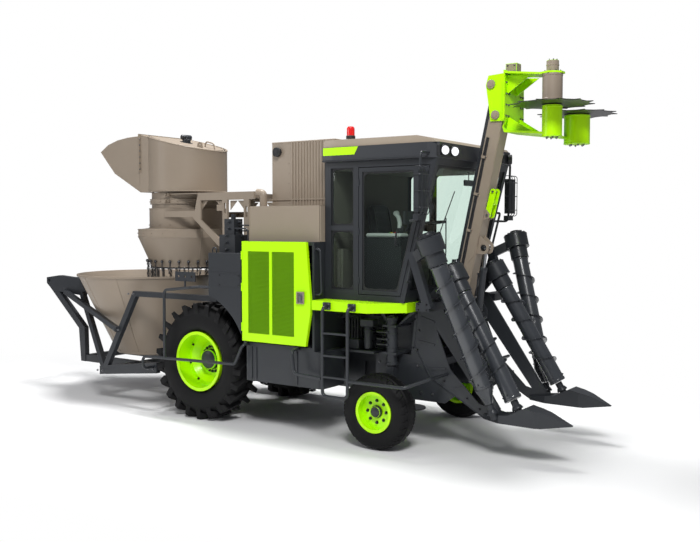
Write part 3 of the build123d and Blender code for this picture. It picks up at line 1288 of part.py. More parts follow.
# Crop dividers: one each side, a throat plate on a pointed shoe that carries the feet and the drive
# housings of its two scrolls.
SHOE_HALF = 110.0
SHOE_TIP = 2074.0
ARM_OUT = 965.0
for name, side in (("left", 1), ("right", -1)):
    with BuildPart() as shoe:
        with BuildSketch(NOSE_SIDE):
            with BuildLine():
                Polyline(
                    (1100.0, 405.0),
                    (1780.0, 400.0),
                    (SHOE_TIP, 440.0),
                    (SHOE_TIP, 450.0),
                    (1833.0, 546.0),
                    (1612.0, 596.0),
                    (1430.0, 500.0),
                    (1100.0, 460.0),
                    close=True,
                )
            make_face()
        extrude(amount=1000.0, both=True)
        with BuildSketch(NOSE_PLAN):
            with BuildLine():
                Polyline(
                    (1100.0, side * (PLATE_IN - 20.0)),
                    (1320.0, side * (PLATE_IN - SHOE_HALF)),
                    (1720.0, side * (PLATE_IN - SHOE_HALF)),
                    (SHOE_TIP, side * (PLATE_IN - 25.0)),
                    (SHOE_TIP, side * (PLATE_IN - 5.0)),
                    (1720.0, side * (PLATE_IN + SHOE_HALF + 20.0)),
                    (1320.0, side * (PLATE_IN + SHOE_HALF + 20.0)),
                    (1100.0, side * (PLATE_IN + 20.0)),
                    close=True,
                )
            make_face()
        extrude(amount=1000.0, mode=Mode.INTERSECT)
    with BuildPart() as divider:
        add(shoe.part)
        with BuildSketch(NOSE_SIDE.offset(-side * PLATE_IN)):
            with BuildLine():
                Polyline(
                    (370.0, 1670.0),
                    (290.0, 1520.0),
                    (240.0, 1130.0),
                    (440.0, 790.0),
                    (1100.0, 410.0),
                    (1220.0, 430.0),
                    (1500.0, 440.0),
                    (1500.0, 470.0),
                    (1295.0, 520.0),
                    (530.0, 1660.0),
                    close=True,
                )
            make_face()
            with BuildLine():
                Polyline(
                    (520.0, 1330.0),
                    (690.0, 900.0),
                    (1040.0, 560.0),
                    (1120.0, 540.0),
                    close=True,
                )
            make_face(mode=Mode.SUBTRACT)
        extrude(amount=-side * PLATE_T)
        for kind, top, foot in scroll_ends:
            low = ahead(foot[0], side * foot[1], foot[2])
            high = ahead(top[0], side * top[1], top[2])
            axis_plane = along(low, high)
            length = (high - low).length
            for start, run, radius in (
                (-60.0, FOOT_RISE + 60.0 - RUNNING_GAP, FOOT_PIN_R),
                (length - HOUSING_HALF - COLLAR_L, COLLAR_L, COLLAR_R),
                (length - HOUSING_HALF, 2.0 * HOUSING_HALF, HOUSING_R),
                (length + HOUSING_HALF, MOTOR_L, FOOT_PIN_R),
            ):
                with BuildSketch(axis_plane.offset(start)):
                    Circle(radius)
                extrude(amount=run)
        with Locations(ahead(550.0, side * (PLATE_IN + ARM_OUT + 40.0) / 2.0, 1600.0)):
            Box(160.0, ARM_OUT + 40.0 - PLATE_IN, 90.0)
        outer_joint = ahead(SCROLL_OUT_TOP[0], side * (SCROLL_OUT_TOP[1] - 20.0), SCROLL_OUT_TOP[2] - 10.0)
        inner_joint = ahead(SCROLL_IN_TOP[0], side * (SCROLL_IN_TOP[1] + 9.0), SCROLL_IN_TOP[2])
        for start, end, wide, deep, short in (
            (ahead(610.0, side * ARM_OUT, 1580.0), ahead(400.0, side * ARM_OUT, 2190.0), 80.0, 90.0, 0.0),
            (ahead(430.0, side * ARM_OUT, 2120.0), outer_joint, 60.0, 110.0, 60.0),
            (ahead(410.0, side * (PLATE_IN - 25.0), 1630.0), inner_joint, 60.0, 90.0, 40.0),
        ):
            with BuildSketch(along(start, end)):
                Rectangle(wide, deep)
            extrude(amount=(end - start).length - short)
        add(front_frame.part, mode=Mode.SUBTRACT)
    divider.part.label = f"divider_{name}"
    export_step(divider.part, f"parts/divider_{name}.step")

# Topper: boom, levelling link, head with its two discs and the lift cylinder, raised as parked.
BOOM_RUN = 428.0
BOOM_RISE = 1990.0
HEAD_PIVOT = (BOOM_PIVOT[0] + BOOM_RUN, BOOM_PIVOT[1] + BOOM_RISE)
HEAD_LINK = (LINK_PIVOT[0] + BOOM_RUN, LINK_PIVOT[1] + BOOM_RISE)
BOOM_DEPTH = 164.0
LINK_HALF = 40.0
LINK_DEPTH = 50.0
boom_low = ahead(BOOM_PIVOT[0], 0, BOOM_PIVOT[1])
boom_high = ahead(HEAD_PIVOT[0], 0, HEAD_PIVOT[1])
boom_length = (boom_high - boom_low).length
lean_x = BOOM_RUN / boom_length
lean_z = BOOM_RISE / boom_length
LIFT_EYE_ALONG = 560.0
LIFT_EYE_OUT = 150.0
LIFT_R = 38.0
ROD_R = 22.0
ROD_EYE_R = 36.0
EYE_PLAY = 13.0
EYE_HOLE_R = PIN_R + EYE_PLAY
EYE_LUG = 62.0
EYE_LUG_T = 16.0
EYE_LUG_IN = LIFT_R + 12.0


def boom_point(up, out):
    """A point in side view, given by its distance up the boom and out in front of its centre line."""
    return (BOOM_PIVOT[0] + lean_x * up + lean_z * out, BOOM_PIVOT[1] + lean_z * up - lean_x * out)


LIFT_EYE = boom_point(LIFT_EYE_ALONG, LIFT_EYE_OUT)
with BuildPart() as topper_boom:
    with BuildSketch(along(boom_low, boom_high).offset(-60.0)):
        Rectangle(2.0 * BOOM_HALF, BOOM_DEPTH)
    extrude(amount=boom_length + 110.0)
    for side in (-1, 1):
        with BuildSketch(NOSE_SIDE.offset(-side * EYE_LUG_IN)):
            with BuildLine():
                Polyline(
                    boom_point(LIFT_EYE_ALONG - 90.0, BOOM_DEPTH / 2.0 - 2.0),
                    boom_point(LIFT_EYE_ALONG - EYE_LUG, LIFT_EYE_OUT + 40.0),
                    boom_point(LIFT_EYE_ALONG - 40.0, LIFT_EYE_OUT + EYE_LUG),
                    boom_point(LIFT_EYE_ALONG + 40.0, LIFT_EYE_OUT + EYE_LUG),
                    boom_point(LIFT_EYE_ALONG + EYE_LUG, LIFT_EYE_OUT + 40.0),
                    boom_point(LIFT_EYE_ALONG + 130.0, BOOM_DEPTH / 2.0 - 2.0),
                    close=True,
                )
            make_face()
            with Locations(LIFT_EYE):
                Circle(EYE_HOLE_R, mode=Mode.SUBTRACT)
        extrude(amount=-side * EYE_LUG_T)
    with BuildSketch(NOSE_SIDE):
        with Locations(BOOM_PIVOT, HEAD_PIVOT):
            Circle(PIN_R + BEARING_GAP)
    extrude(amount=BOOM_HALF, both=True, mode=Mode.SUBTRACT)
topper_boom.part.label = "topper_boom"
export_step(topper_boom.part, "parts/topper_boom.step")

link_low = ahead(LINK_PIVOT[0], 0, LINK_PIVOT[1])
link_high = ahead(HEAD_LINK[0], 0, HEAD_LINK[1])
with BuildPart() as topper_link:
    with BuildSketch(along(link_low, link_high).offset(-35.0)):
        Rectangle(2.0 * LINK_HALF, LINK_DEPTH + 20.0)
    extrude(amount=75.0)
    with BuildSketch(along(link_low, link_high)):
        Rectangle(2.0 * LINK_HALF, LINK_DEPTH)
    extrude(amount=boom_length)
    with BuildSketch(along(link_low, link_high).offset(boom_length - 40.0)):
        Rectangle(2.0 * LINK_HALF, LINK_DEPTH + 20.0)
    extrude(amount=75.0)
    with BuildSketch(NOSE_SIDE):
        with Locations(LINK_PIVOT, HEAD_LINK):
            Circle(PIN_R + BEARING_GAP)
    extrude(amount=LINK_HALF, both=True, mode=Mode.SUBTRACT)
topper_link.part.label = "topper_link"
export_step(topper_link.part, "parts/topper_link.step")

ROTOR_X = 1720.0
ROTOR_Y = 365.0
DISC_R = FRONT_REACH - ROTOR_X
DISC_T = 8.0
DISC_TEETH = 12
TOOTH_DEPTH = 60.0
DISC_Z = ((-1, 3722.0), (1, 3692.0))
DRUM_R = ((-1, 103.0), (1, 140.0))
DRUM_LOW = ((-1, 3390.0), (1, 3365.0))
DRUM_GAP = 12.0
MOTOR_R = 102.0
SHELF_T = 20.0
SHELF_HIGH = 4120.0
SHELF_LOW = 4035.0
TRAY_HIGH = 3500.0
TRAY_LOW = 3420.0
head_shelves = []
for outline, profile in (
    (
        (
            (1128.0, -260.0),
            (ROTOR_X, -ROTOR_Y - 115.0),
            (1830.0, -ROTOR_Y - 35.0),
            (1830.0, -ROTOR_Y + 65.0),
            (ROTOR_X, -ROTOR_Y + 125.0),
            (1128.0, 120.0),
        ),
        (
            (1115.0, SHELF_HIGH),
            (ROTOR_X - 110.0, SHELF_LOW),
            (1840.0, SHELF_LOW),
            (1840.0, SHELF_LOW + SHELF_T),
            (ROTOR_X - 110.0, SHELF_LOW + SHELF_T),
            (1115.0, SHELF_HIGH + SHELF_T),
        ),
    ),
    (
        (
            (1050.0, -160.0),
            (1650.0, -ROTOR_Y - 60.0),
            (1650.0, ROTOR_Y + 60.0),
            (1050.0, 160.0),
        ),
        (
            (1120.0, 3640.0),
            (1070.0, TRAY_HIGH + 50.0),
            (1095.0, TRAY_HIGH - 10.0),
            (1660.0, TRAY_LOW),
            (1660.0, TRAY_LOW + SHELF_T),
            (1105.0, TRAY_HIGH + 12.0),
            (1090.0, TRAY_HIGH + 50.0),
            (1136.0, 3640.0),
        ),
    ),
):
    with BuildPart() as head_shelf:
        with BuildSketch(NOSE_SIDE):
            with BuildLine():
                Polyline(*profile, close=True)
            make_face()
        extrude(amount=ROTOR_Y + 200.0, both=True)
        with BuildSketch(NOSE_PLAN.offset(TRAY_LOW - 100.0)):
            with BuildLine():
                Polyline(*outline, close=True)
            make_face()
        extrude(amount=1000.0, mode=Mode.INTERSECT)
    head_shelves.append(head_shelf.part)
with BuildPart() as topper_head:
    add(head_shelves)
    for side in (-1, 1):
        with BuildSketch(NOSE_SIDE.offset(-side * LUG_IN)):
            with BuildLine():
                Polyline(
                    (880.0, 4130.0),
                    (1120.0, 4145.0),
                    (1120.0, 3620.0),
                    (910.0, 3625.0),
                    (850.0, 4030.0),
                    close=True,
                )
            make_face()
        extrude(amount=-side * 12.0)
    with BuildSketch(NOSE_SIDE):
        with Locations(HEAD_PIVOT, HEAD_LINK):
            Circle(PIN_R)
    extrude(amount=LUG_IN + 12.0, both=True)
    with Locations(ahead(1128.0, 0, 3885.0)):
        Box(16.0, 520.0, 530.0)
    with BuildSketch(NOSE_PLAN.offset(3760.0)):
        with Locations((ROTOR_X, -ROTOR_Y)):
            Circle(MOTOR_R)
    extrude(amount=SHELF_LOW + SHELF_T / 2.0 - 3760.0)
    with BuildSketch(NOSE_PLAN.offset(SHELF_LOW + SHELF_T / 2.0)):
        with Locations((ROTOR_X, -ROTOR_Y)):
            Circle(62.0)
    extrude(amount=125.0)
    with Locations(ahead(1120.0, 0, 4190.0)):
        Box(130.0, 120.0, 120.0)
    for index, side in enumerate((-1, 1)):
        with BuildSketch(NOSE_PLAN.offset(DRUM_LOW[index][1])):
            with Locations((ROTOR_X, side * ROTOR_Y)):
                Circle(DRUM_R[index][1])
        extrude(amount=DISC_Z[index][1] - DRUM_GAP - DRUM_LOW[index][1])
topper_head.part.label = "topper_head"
export_step(topper_head.part, "parts/topper_head.step")



def saw_edge(side):
    """Corners of a disc's hooked teeth round its rotor, which lean the way the disc turns."""
    corners = []
    for tooth in range(DISC_TEETH):
        for radius, share in ((DISC_R, 0.0), (DISC_R - TOOTH_DEPTH, 0.12), (DISC_R - TOOTH_DEPTH, 0.62)):
            angle = side * radians((tooth + share) * 360.0 / DISC_TEETH)
            corners.append((ROTOR_X + radius * cos(angle), side * ROTOR_Y + radius * sin(angle)))
    return corners


for index, name in enumerate(("right", "left")):
    side = DISC_Z[index][0]
    with BuildPart() as topper_disc:
        with BuildSketch(NOSE_PLAN.offset(DISC_Z[index][1])):
            with BuildLine():
                Polyline(*saw_edge(side), close=True)
            make_face()
        extrude(amount=DISC_T)
    topper_disc.part.label = f"topper_disc_{name}"
    export_step(topper_disc.part, f"parts/topper_disc_{name}.step")

lift_low = ahead(LIFT_PIVOT[0], 0, LIFT_PIVOT[1])
lift_high = ahead(LIFT_EYE[0], 0, LIFT_EYE[1])
lift_length = (lift_high - lift_low).length
BARREL_SPAN = 545.0
ROD_START = 260.0
with BuildPart() as lift_barrel:
    with BuildSketch(along(lift_low, lift_high)):
        Circle(LIFT_R)
    extrude(amount=BARREL_SPAN)
    with BuildSketch(NOSE_SIDE):
        with Locations(LIFT_PIVOT):
            Circle(LIFT_R)
    extrude(amount=LIFT_R, both=True)
    with BuildSketch(NOSE_SIDE):
        with Locations(LIFT_PIVOT):
            Circle(PIN_R + BEARING_GAP)
    extrude(amount=LIFT_R, both=True, mode=Mode.SUBTRACT)
    with BuildSketch(along(lift_low, lift_high).offset(60.0)):
        Circle(ROD_R + BEARING_GAP)
    extrude(amount=BARREL_SPAN, mode=Mode.SUBTRACT)
lift_barrel.part.label = "lift_barrel"
export_step(lift_barrel.part, "parts/lift_barrel.step")

with BuildPart() as lift_rod:
    with BuildSketch(along(lift_low, lift_high).offset(ROD_START)):
        Circle(ROD_R)
    extrude(amount=lift_length - ROD_START)
    with BuildSketch(NOSE_SIDE):
        with Locations(LIFT_EYE):
            Circle(ROD_EYE_R)
    extrude(amount=LIFT_R, both=True)
    with BuildSketch(NOSE_SIDE):
        with Locations(LIFT_EYE):
            Circle(PIN_R)
    extrude(amount=EYE_LUG_IN + EYE_LUG_T + 14.0, both=True)
lift_rod.part.label = "lift_rod"
export_step(lift_rod.part, "parts/lift_rod.step")
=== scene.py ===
import math

import bmesh
import bpy
import numpy as np
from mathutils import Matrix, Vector
from mathutils.geometry import tessellate_polygon


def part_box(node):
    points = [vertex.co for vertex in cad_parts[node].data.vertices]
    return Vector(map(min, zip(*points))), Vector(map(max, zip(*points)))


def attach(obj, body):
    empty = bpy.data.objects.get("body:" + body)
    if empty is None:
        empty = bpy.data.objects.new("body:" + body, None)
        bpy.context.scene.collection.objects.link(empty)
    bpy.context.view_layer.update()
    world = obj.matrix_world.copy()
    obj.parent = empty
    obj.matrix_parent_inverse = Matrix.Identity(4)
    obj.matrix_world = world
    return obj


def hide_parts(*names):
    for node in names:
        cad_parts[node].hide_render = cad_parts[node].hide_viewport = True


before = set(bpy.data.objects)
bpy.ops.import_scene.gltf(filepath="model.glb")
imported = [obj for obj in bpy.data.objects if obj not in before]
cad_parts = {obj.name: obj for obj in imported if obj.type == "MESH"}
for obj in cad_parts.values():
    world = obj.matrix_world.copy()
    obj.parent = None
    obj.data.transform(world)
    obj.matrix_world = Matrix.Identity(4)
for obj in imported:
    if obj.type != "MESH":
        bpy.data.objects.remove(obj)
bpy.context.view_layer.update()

# Chassis, tail, uprights and steering knuckles: welded box section, shot-blasted and powder
# coated in a charcoal grey. The coat is even, slightly pebbled, and a little shinier where rubbed.


def linear(shade):
    """Linear RGBA of an sRGB hex value: c / 12.92 near black, else ((c + 0.055) / 1.055) ** 2.4."""
    c = np.array([int(shade[i : i + 2], 16) for i in (1, 3, 5)]) / 255.0
    c = np.where(c <= 0.04045, c / 12.92, ((c + 0.055) / 1.055) ** 2.4)
    return (*c.tolist(), 1.0)


def new_material(name):
    """An empty node material with its output and principled shader joined."""
    material = bpy.data.materials.new(name)
    material.use_nodes = True
    return material, material.node_tree.nodes["Principled BSDF"]


def add_node(material, kind, sets=(), links=(), **properties):
    """Adds one shader node, sets its properties and its unlinked sockets, and joins its inputs."""
    node = material.node_tree.nodes.new(kind)
    for key, value in properties.items():
        setattr(node, key, value)
    for socket, value in dict(sets).items():
        node.inputs[socket].default_value = value
    for socket, source in dict(links).items():
        material.node_tree.links.new(source, node.inputs[socket])
    return node


def clouds(material, place, scale, detail, rough=0.5):
    """Fractal noise on an object's own coordinates, its scale in waves per metre."""
    return add_node(material, "ShaderNodeTexNoise", {"Scale": scale, "Detail": detail, "Roughness": rough},
                    {"Vector": place.outputs["Object"]})


def shades(material, first, second, share):
    """One sRGB shade turning into another by a share."""
    return add_node(material, "ShaderNodeMix", {6: linear(first), 7: linear(second)}, {0: share},
        data_type="RGBA")


def relief_of(material, strength, depth, height):
    """A height made into relief, its depth in metres."""
    return add_node(material, "ShaderNodeBump", {"Strength": strength, "Distance": depth},
        {"Height": height})


def between(material, low, high, share):
    """A value that runs from low to high by a share."""
    return add_node(material, "ShaderNodeMapRange", {"To Min": low, "To Max": high}, {"Value": share})


def feed(material, shader, links, sets):
    """Joins outputs to a shader's sockets, sets those that nothing feeds, hands back the material."""
    for socket, source in links.items():
        material.node_tree.links.new(source, shader.inputs[socket])
    for socket, value in sets.items():
        shader.inputs[socket].default_value = value
    return material


def sprayed_paint(name, shade, deep, rough, coat, pebble_mm=1.6, drift_mm=380.0, sheen=0.5):
    """Sprayed paint on sheet: the shade drifts towards a deeper one over drift_mm, the film has a
    pebble of pebble_mm, and its roughness wanders by a few hundredths round the given value."""
    material, shader = new_material(name)
    place = add_node(material, "ShaderNodeTexCoord")
    drift = clouds(material, place, 1000.0 / drift_mm, 4.0, 0.6)
    tone = shades(material, shade, deep, drift.outputs["Fac"])
    rub = between(material, rough - 0.06, rough + 0.08, drift.outputs["Fac"])
    pebble = clouds(material, place, 1000.0 / (pebble_mm * 4.0), 2.0)
    relief = relief_of(material, 0.12, 0.0006, pebble.outputs["Fac"])
    links = {"Base Color": tone.outputs[2], "Roughness": rub.outputs["Result"],
        "Normal": relief.outputs["Normal"]}
    return feed(material, shader, links, {"Coat Weight": coat, "Coat Roughness": 0.12,
        "Specular IOR Level": sheen})


def dress(material, *nodes):
    """Gives carried-over frame nodes one material."""
    for node in nodes:
        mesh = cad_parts[node].data
        mesh.materials.clear()
        mesh.materials.append(material)


# Powder coat is even and half matt: edges catch a thin light, faces stay dark.
charcoal_paint = sprayed_paint("charcoal_powder_coat", "#2F3236", "#292B2F", 0.36, 0.06, 1.6, 380.0, 0.35)
dress(charcoal_paint, "chassis_frame", "knuckle_left", "knuckle_right", "feed_duct", "rear_frame",
    "hinge_heads")
dress(charcoal_paint, "front_frame", "divider_left", "divider_right")
dress(charcoal_paint, "body_shell", "side_tanks", "ladder", "guards", "cab_shell", "cab_door", "mirrors",
    "valve_stack")
dress(charcoal_paint, "lift_barrel", "extractor_fan")
for kind in ("inner", "outer"):
    dress(charcoal_paint, f"scroll_{kind}_left", f"scroll_{kind}_right")

# Drive tyres: radial tractor tyres of black carbon rubber, press-moulded with 22 pairs of deep
# angled bars that run from the middle of the tread down over the shoulder.


def grid(points, wrap_rows=False, wrap_columns=False):
    """A shape from rows and columns of points: each cell is a quad, joined end to end if wrapped."""
    rows, columns = points.shape[:2]
    index = np.arange(rows * columns).reshape(rows, columns)
    near = index[: rows if wrap_rows else rows - 1, : columns if wrap_columns else columns - 1]
    down, across = np.roll(index, -1, 0), np.roll(index, -1, 1)
    cut = (slice(near.shape[0]), slice(near.shape[1]))
    quads = np.stack([near, across[cut], np.roll(down, -1, 1)[cut], down[cut]], -1).reshape(-1, 4)
    return points.reshape(-1, 3), quads.tolist()


def joined(*shapes):
    """Several shapes as one: their points end to end, each face's numbers moved on to match."""
    starts = np.cumsum([0] + [len(points) for points, faces in shapes])
    faces = [[corner + start for corner in face] for start, shape in zip(starts.tolist(), shapes)
        for face in shape[1]]
    return np.concatenate([points for points, faces in shapes]), faces


def piece(name, shape, material, body, smooth=35.0, weld=0.0):
    """A named mesh from a shape, faces outward, shaded smooth below an angle, riding on a body."""
    mesh = bpy.data.meshes.new(name)
    mesh.from_pydata(shape[0].tolist(), [], shape[1])
    build = bmesh.new()
    build.from_mesh(mesh)
    if weld:
        bmesh.ops.remove_doubles(build, verts=build.verts, dist=weld)
    bmesh.ops.recalc_face_normals(build, faces=build.faces)
    build.to_mesh(mesh)
    build.free()
    mesh.materials.append(material)
    mesh.shade_smooth()
    mesh.set_sharp_from_angle(angle=math.radians(smooth))
    made = bpy.data.objects.new(name, mesh)
    bpy.context.scene.collection.objects.link(made)
    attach(made, body)
    return made


def moulded_rubber(name, shade, rough, grain_mm=2.2):
    """Moulded tyre rubber: near black, with a fine matt grain of the mould and a greyer bloom."""
    material, shader = new_material(name)
    place = add_node(material, "ShaderNodeTexCoord")
    bloom = clouds(material, place, 9.0, 5.0)
    tone = shades(material, shade, "#141415", bloom.outputs["Fac"])
    grain = clouds(material, place, 1000.0 / (grain_mm * 4.0), 3.0)
    relief = relief_of(material, 0.25, 0.0008, grain.outputs["Fac"])
    dull = between(material, rough - 0.08, rough + 0.08, bloom.outputs["Fac"])
    links = {"Base Color": tone.outputs[2], "Roughness": dull.outputs["Result"],
        "Normal": relief.outputs["Normal"]}
    return feed(material, shader, links, {"Specular IOR Level": 0.2})


# The near black swallows the light, so the bars show by their edges only.
tyre_rubber = moulded_rubber("tyre_rubber_moulded", "#0B0B0C", 0.62)


def tyre_body(width, outer, inner, full, count, tread=None):
    """The casing: a closed superellipse |y/a|^n + |(r-m)/b|^n = 1 turned round the axle, with tread(
    angle, y) added to the radius over the crown."""
    around = np.linspace(0.0, 2.0 * np.pi, 72, endpoint=False)
    side, rise = np.sin(around), np.cos(around)
    y = width / 2.0 * np.sign(side) * np.abs(side) ** (2.0 / full)
    r = (outer + inner) / 2.0 + (outer - inner) / 2.0 * np.sign(rise) * np.abs(rise) ** (2.0 / full)
    angle = np.arange(count) * 2.0 * np.pi / count
    y, r, angle = np.broadcast_arrays(y[:, None], r[:, None], angle[None, :])
    if tread is not None:
        r = r + tread(angle, y) * np.clip((r - outer + 0.06) / 0.05, 0.0, 1.0)
    return grid(np.stack([r * np.cos(angle), y, r * np.sin(angle)], -1), True, True)


def tread_bars(radius, casing, width, pairs, bar, sweep):
    """The bars: one grid runs from the tread's middle out over the shoulder and down the sidewall,
    its cross-section a trapezoid with eased edges, and is repeated round the axle by its angle."""
    run = np.concatenate([np.linspace(0.0, 1.0, 13), 1.0 + np.linspace(0.02, 0.12, 3),
        1.12 + np.linspace(0.05, 0.4, 5)])
    out = np.clip(run, 0.0, 1.0)
    y = -0.014 + (width / 2.0 - 0.004 + 0.014) * out + 0.002 * np.clip(run - 1.0, 0.0, 1.0)
    lead = sweep * out ** 1.25 + 0.02 * np.clip(run - 1.0, 0.0, 1.0)
    top = radius - 0.004 * out**4 - 0.012 * np.clip(run - 1.0, 0.0, 0.12) / 0.12
    top = top - 0.16 * np.clip(run - 1.12, 0.0, 1.0) ** 0.8
    foot = np.minimum(casing - 0.012 - 0.045 * out**4 - 0.14 * np.clip(run - 1.1, 0.0, 1.0), top - 0.01)
    half = bar / 2.0 * (1.0 + 0.3 * out)
    across = np.array([-1.28, -1.06, -1.0, -0.9, 0.9, 1.0, 1.06, 1.28])
    height = np.array([0.0, 0.72, 0.93, 1.0, 1.0, 0.93, 0.72, 0.0])
    r = foot[:, None] + (top - foot)[:, None] * height
    turn = (lead[:, None] + half[:, None] * across) / r
    y = np.repeat(y[:, None], len(across), 1) - 0.012 * (1.0 - height) * (run[:, None] > 1.0)
    bars = []
    for pair in range(pairs):
        for hand in (-1, 1):
            angle = turn + (pair + 0.25 * hand) * 2.0 * np.pi / pairs
            points = np.stack([r * np.cos(angle), hand * y, r * np.sin(angle)], -1)
            skin, faces = grid(points)
            rows, columns = points.shape[:2]
            start_cap = list(range(columns))
            end_cap = [(rows - 1) * columns + i for i in range(columns)][::-1]
            bars.append((skin, faces + [start_cap, end_cap]))
    return joined(*bars)


def put(shape, centre, mirror_y=False):
    """A shape moved to a centre, turned left for right first where asked."""
    points = shape[0] * np.array([1.0, -1.0 if mirror_y else 1.0, 1.0])
    return points + np.array(centre), shape[1]


def middle(node):
    """The middle of a node's box and half its size."""
    low, high = np.array(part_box(node))
    return (low + high) / 2.0, (high - low) / 2.0


DRIVE_TYRE_PAIRS = 22
for side in ("left", "right"):
    axle, reach = middle(f"rear_tyre_{side}")
    casing = tyre_body(2.0 * reach[1] - 0.006, reach[0] - 0.042, 0.356, 2.7, 220)
    bars = tread_bars(reach[0] - 0.0006, reach[0] - 0.042, 2.0 * reach[1], DRIVE_TYRE_PAIRS, 0.05, -0.13)
    tyre = piece(f"drive_tyre_{side}", put(joined(casing, bars), axle, side == "right"), tyre_rubber,
                 f"rear_wheel_{side}", 32.0)
    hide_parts(f"rear_tyre_{side}")

# Front tyres: narrow implement tyres, moulded with round ribs and small blocks at the shoulders.


def rib_and_block(angle, y):
    """Tread depth: six round grooves, and cross cuts at the shoulders every thirtieth of a turn."""
    grooves = np.minimum.reduce([np.abs(np.abs(y) - 0.018), np.abs(np.abs(y) - 0.062),
        np.abs(np.abs(y) - 0.1)])
    depth = np.clip((grooves - 0.004) / 0.003, 0.0, 1.0)
    cuts = np.abs((angle * 30.0 / (2.0 * np.pi) + np.abs(y) * 6.0) % 1.0 - 0.5)
    blocks = np.clip((0.42 - cuts) / 0.04, 0.0, 1.0)
    shoulder = np.clip((np.abs(y) - 0.06) / 0.004, 0.0, 1.0)
    return -0.011 + 0.011 * depth * (1.0 - shoulder * (1.0 - blocks))


for side in ("left", "right"):
    axle, reach = middle(f"front_tyre_{side}")
    casing = tyre_body(2.0 * reach[1] - 0.004, reach[0] - 0.001, 0.209, 2.9, 420, rib_and_block)
    tyre = piece(f"steer_tyre_{side}", put(casing, axle), tyre_rubber, f"front_wheel_{side}", 32.0)
    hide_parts(f"front_tyre_{side}")

# Wheel fixings: phosphated hex nuts on studs through the rim discs, and cast hub caps in charcoal.


def brushed_steel(name, shade, rough):
    """Zinc-plated or turned steel: bright grey, with a cloudy plating that varies its gloss."""
    material, shader = new_material(name)
    place = add_node(material, "ShaderNodeTexCoord")
    cloud = clouds(material, place, 60.0, 4.0)
    tone = shades(material, shade, "#5C5C5E", cloud.outputs["Fac"])
    gloss = between(material, rough - 0.1, rough + 0.12, cloud.outputs["Fac"])
    links = {"Base Color": tone.outputs[2], "Roughness": gloss.outputs["Result"]}
    return feed(material, shader, links, {"Metallic": 1.0})


# Plating stays bright but cloudy; phosphate is nearly as dark as the paint round it.
plated_steel = brushed_steel("zinc_plated_steel", "#9A9B9E", 0.35)
dark_steel = brushed_steel("phosphated_steel", "#3A3B3E", 0.45)


def frame_of(axis):
    """Two directions across an axis, and the axis: the columns turn +Z on to it."""
    w = np.array(axis, float) / np.linalg.norm(axis)
    u = np.cross((0.0, 1.0, 0.0) if abs(w[1]) < 0.9 else (0.0, 0.0, 1.0), w)
    u = u / np.linalg.norm(u)
    return np.stack([u, np.cross(w, u), w], 1)


def facing(shape, place, axis):
    """A shape drawn about +Z, turned on to an axis and moved to a place."""
    return shape[0] @ frame_of(axis).T + np.array(place), shape[1]


def closed_ring(profile, count, spin=0.0):
    """A profile of (height, radius) rows turned about +Z, its first and last rings capped."""
    angle = np.arange(count) * 2.0 * np.pi / count + spin
    height, radius = np.array(profile, float).T
    points = np.stack([radius[:, None] * np.cos(angle), radius[:, None] * np.sin(angle),
                       np.repeat(height[:, None], count, 1)], -1)
    skin, faces = grid(points, wrap_columns=True)
    last = (len(height) - 1) * count
    return skin, faces + [list(range(count))[::-1], list(range(last, last + count))]


def turned(profile, count, place, axis):
    """A turned part: a profile of (height, radius) rows about an axis, from a place."""
    return facing(closed_ring(profile, count), place, axis)


def hex_nut(across):
    """A nut with an eased top on a washer, and its stud's end: all sizes are shares of the flats."""
    nut = closed_ring([(0.12, 0.575), (0.7, 0.575), (0.8, 0.5)], 6)
    washer = closed_ring([(0.0, 0.75), (0.12, 0.75)], 14)
    stud = closed_ring([(0.8, 0.28), (1.05, 0.28), (1.12, 0.22)], 10)
    points, faces = joined(washer, nut, stud)
    return points * across, faces


def nut(across, place, axis):
    """A nut seated at a place, its stud along an axis."""
    return facing(hex_nut(across), place, axis)


def bolt_circle(centre, axis, radius, count, across, turn=0.0):
    """Nuts at equal angles on a circle round an axis."""
    rows = frame_of(axis)
    angle = turn + np.arange(count) * 2.0 * np.pi / count
    places = np.array(centre) + radius * (np.cos(angle)[:, None] * rows[:, 0]
        + np.sin(angle)[:, None] * rows[:, 1])
    return joined(*[nut(across, place, axis) for place in places])


DRIVE_DISC_FACE = 0.8
for side, hand in (("left", 1.0), ("right", -1.0)):
    axle = middle(f"rear_rim_{side}")[0]
    out = (0.0, hand, 0.0)
    nuts = bolt_circle((axle[0], hand * DRIVE_DISC_FACE, axle[2]), out, 0.162, 20, 0.026)
    outer_nuts = bolt_circle((axle[0], hand * 0.88, axle[2]), out, 0.316, 8, 0.022, 0.2)
    piece(f"drive_wheel_nuts_{side}", joined(nuts, outer_nuts), dark_steel, f"rear_wheel_{side}")
    cap = closed_ring([(0.0, 0.132), (0.05, 0.132), (0.075, 0.118), (0.088, 0.118), (0.1, 0.1),
        (0.108, 0.06), (0.11, 0.02)], 40)
    hub = facing(cap, (axle[0], hand * DRIVE_DISC_FACE, axle[2]), out)
    piece(f"drive_hub_cap_{side}", hub, charcoal_paint, f"rear_wheel_{side}")
    axle = middle(f"front_rim_{side}")[0]
    nuts = bolt_circle((axle[0], hand * 1.03, axle[2]), out, 0.122, 8, 0.026)
    piece(f"steer_wheel_nuts_{side}", nuts, dark_steel, f"front_wheel_{side}")
    cap = closed_ring([(0.0, 0.07), (0.03, 0.07), (0.045, 0.058), (0.056, 0.03), (0.058, 0.01)], 32)
    hub = facing(cap, (axle[0], hand * 1.031, axle[2]), out)
    piece(f"steer_hub_cap_{side}", hub, charcoal_paint, f"front_wheel_{side}")

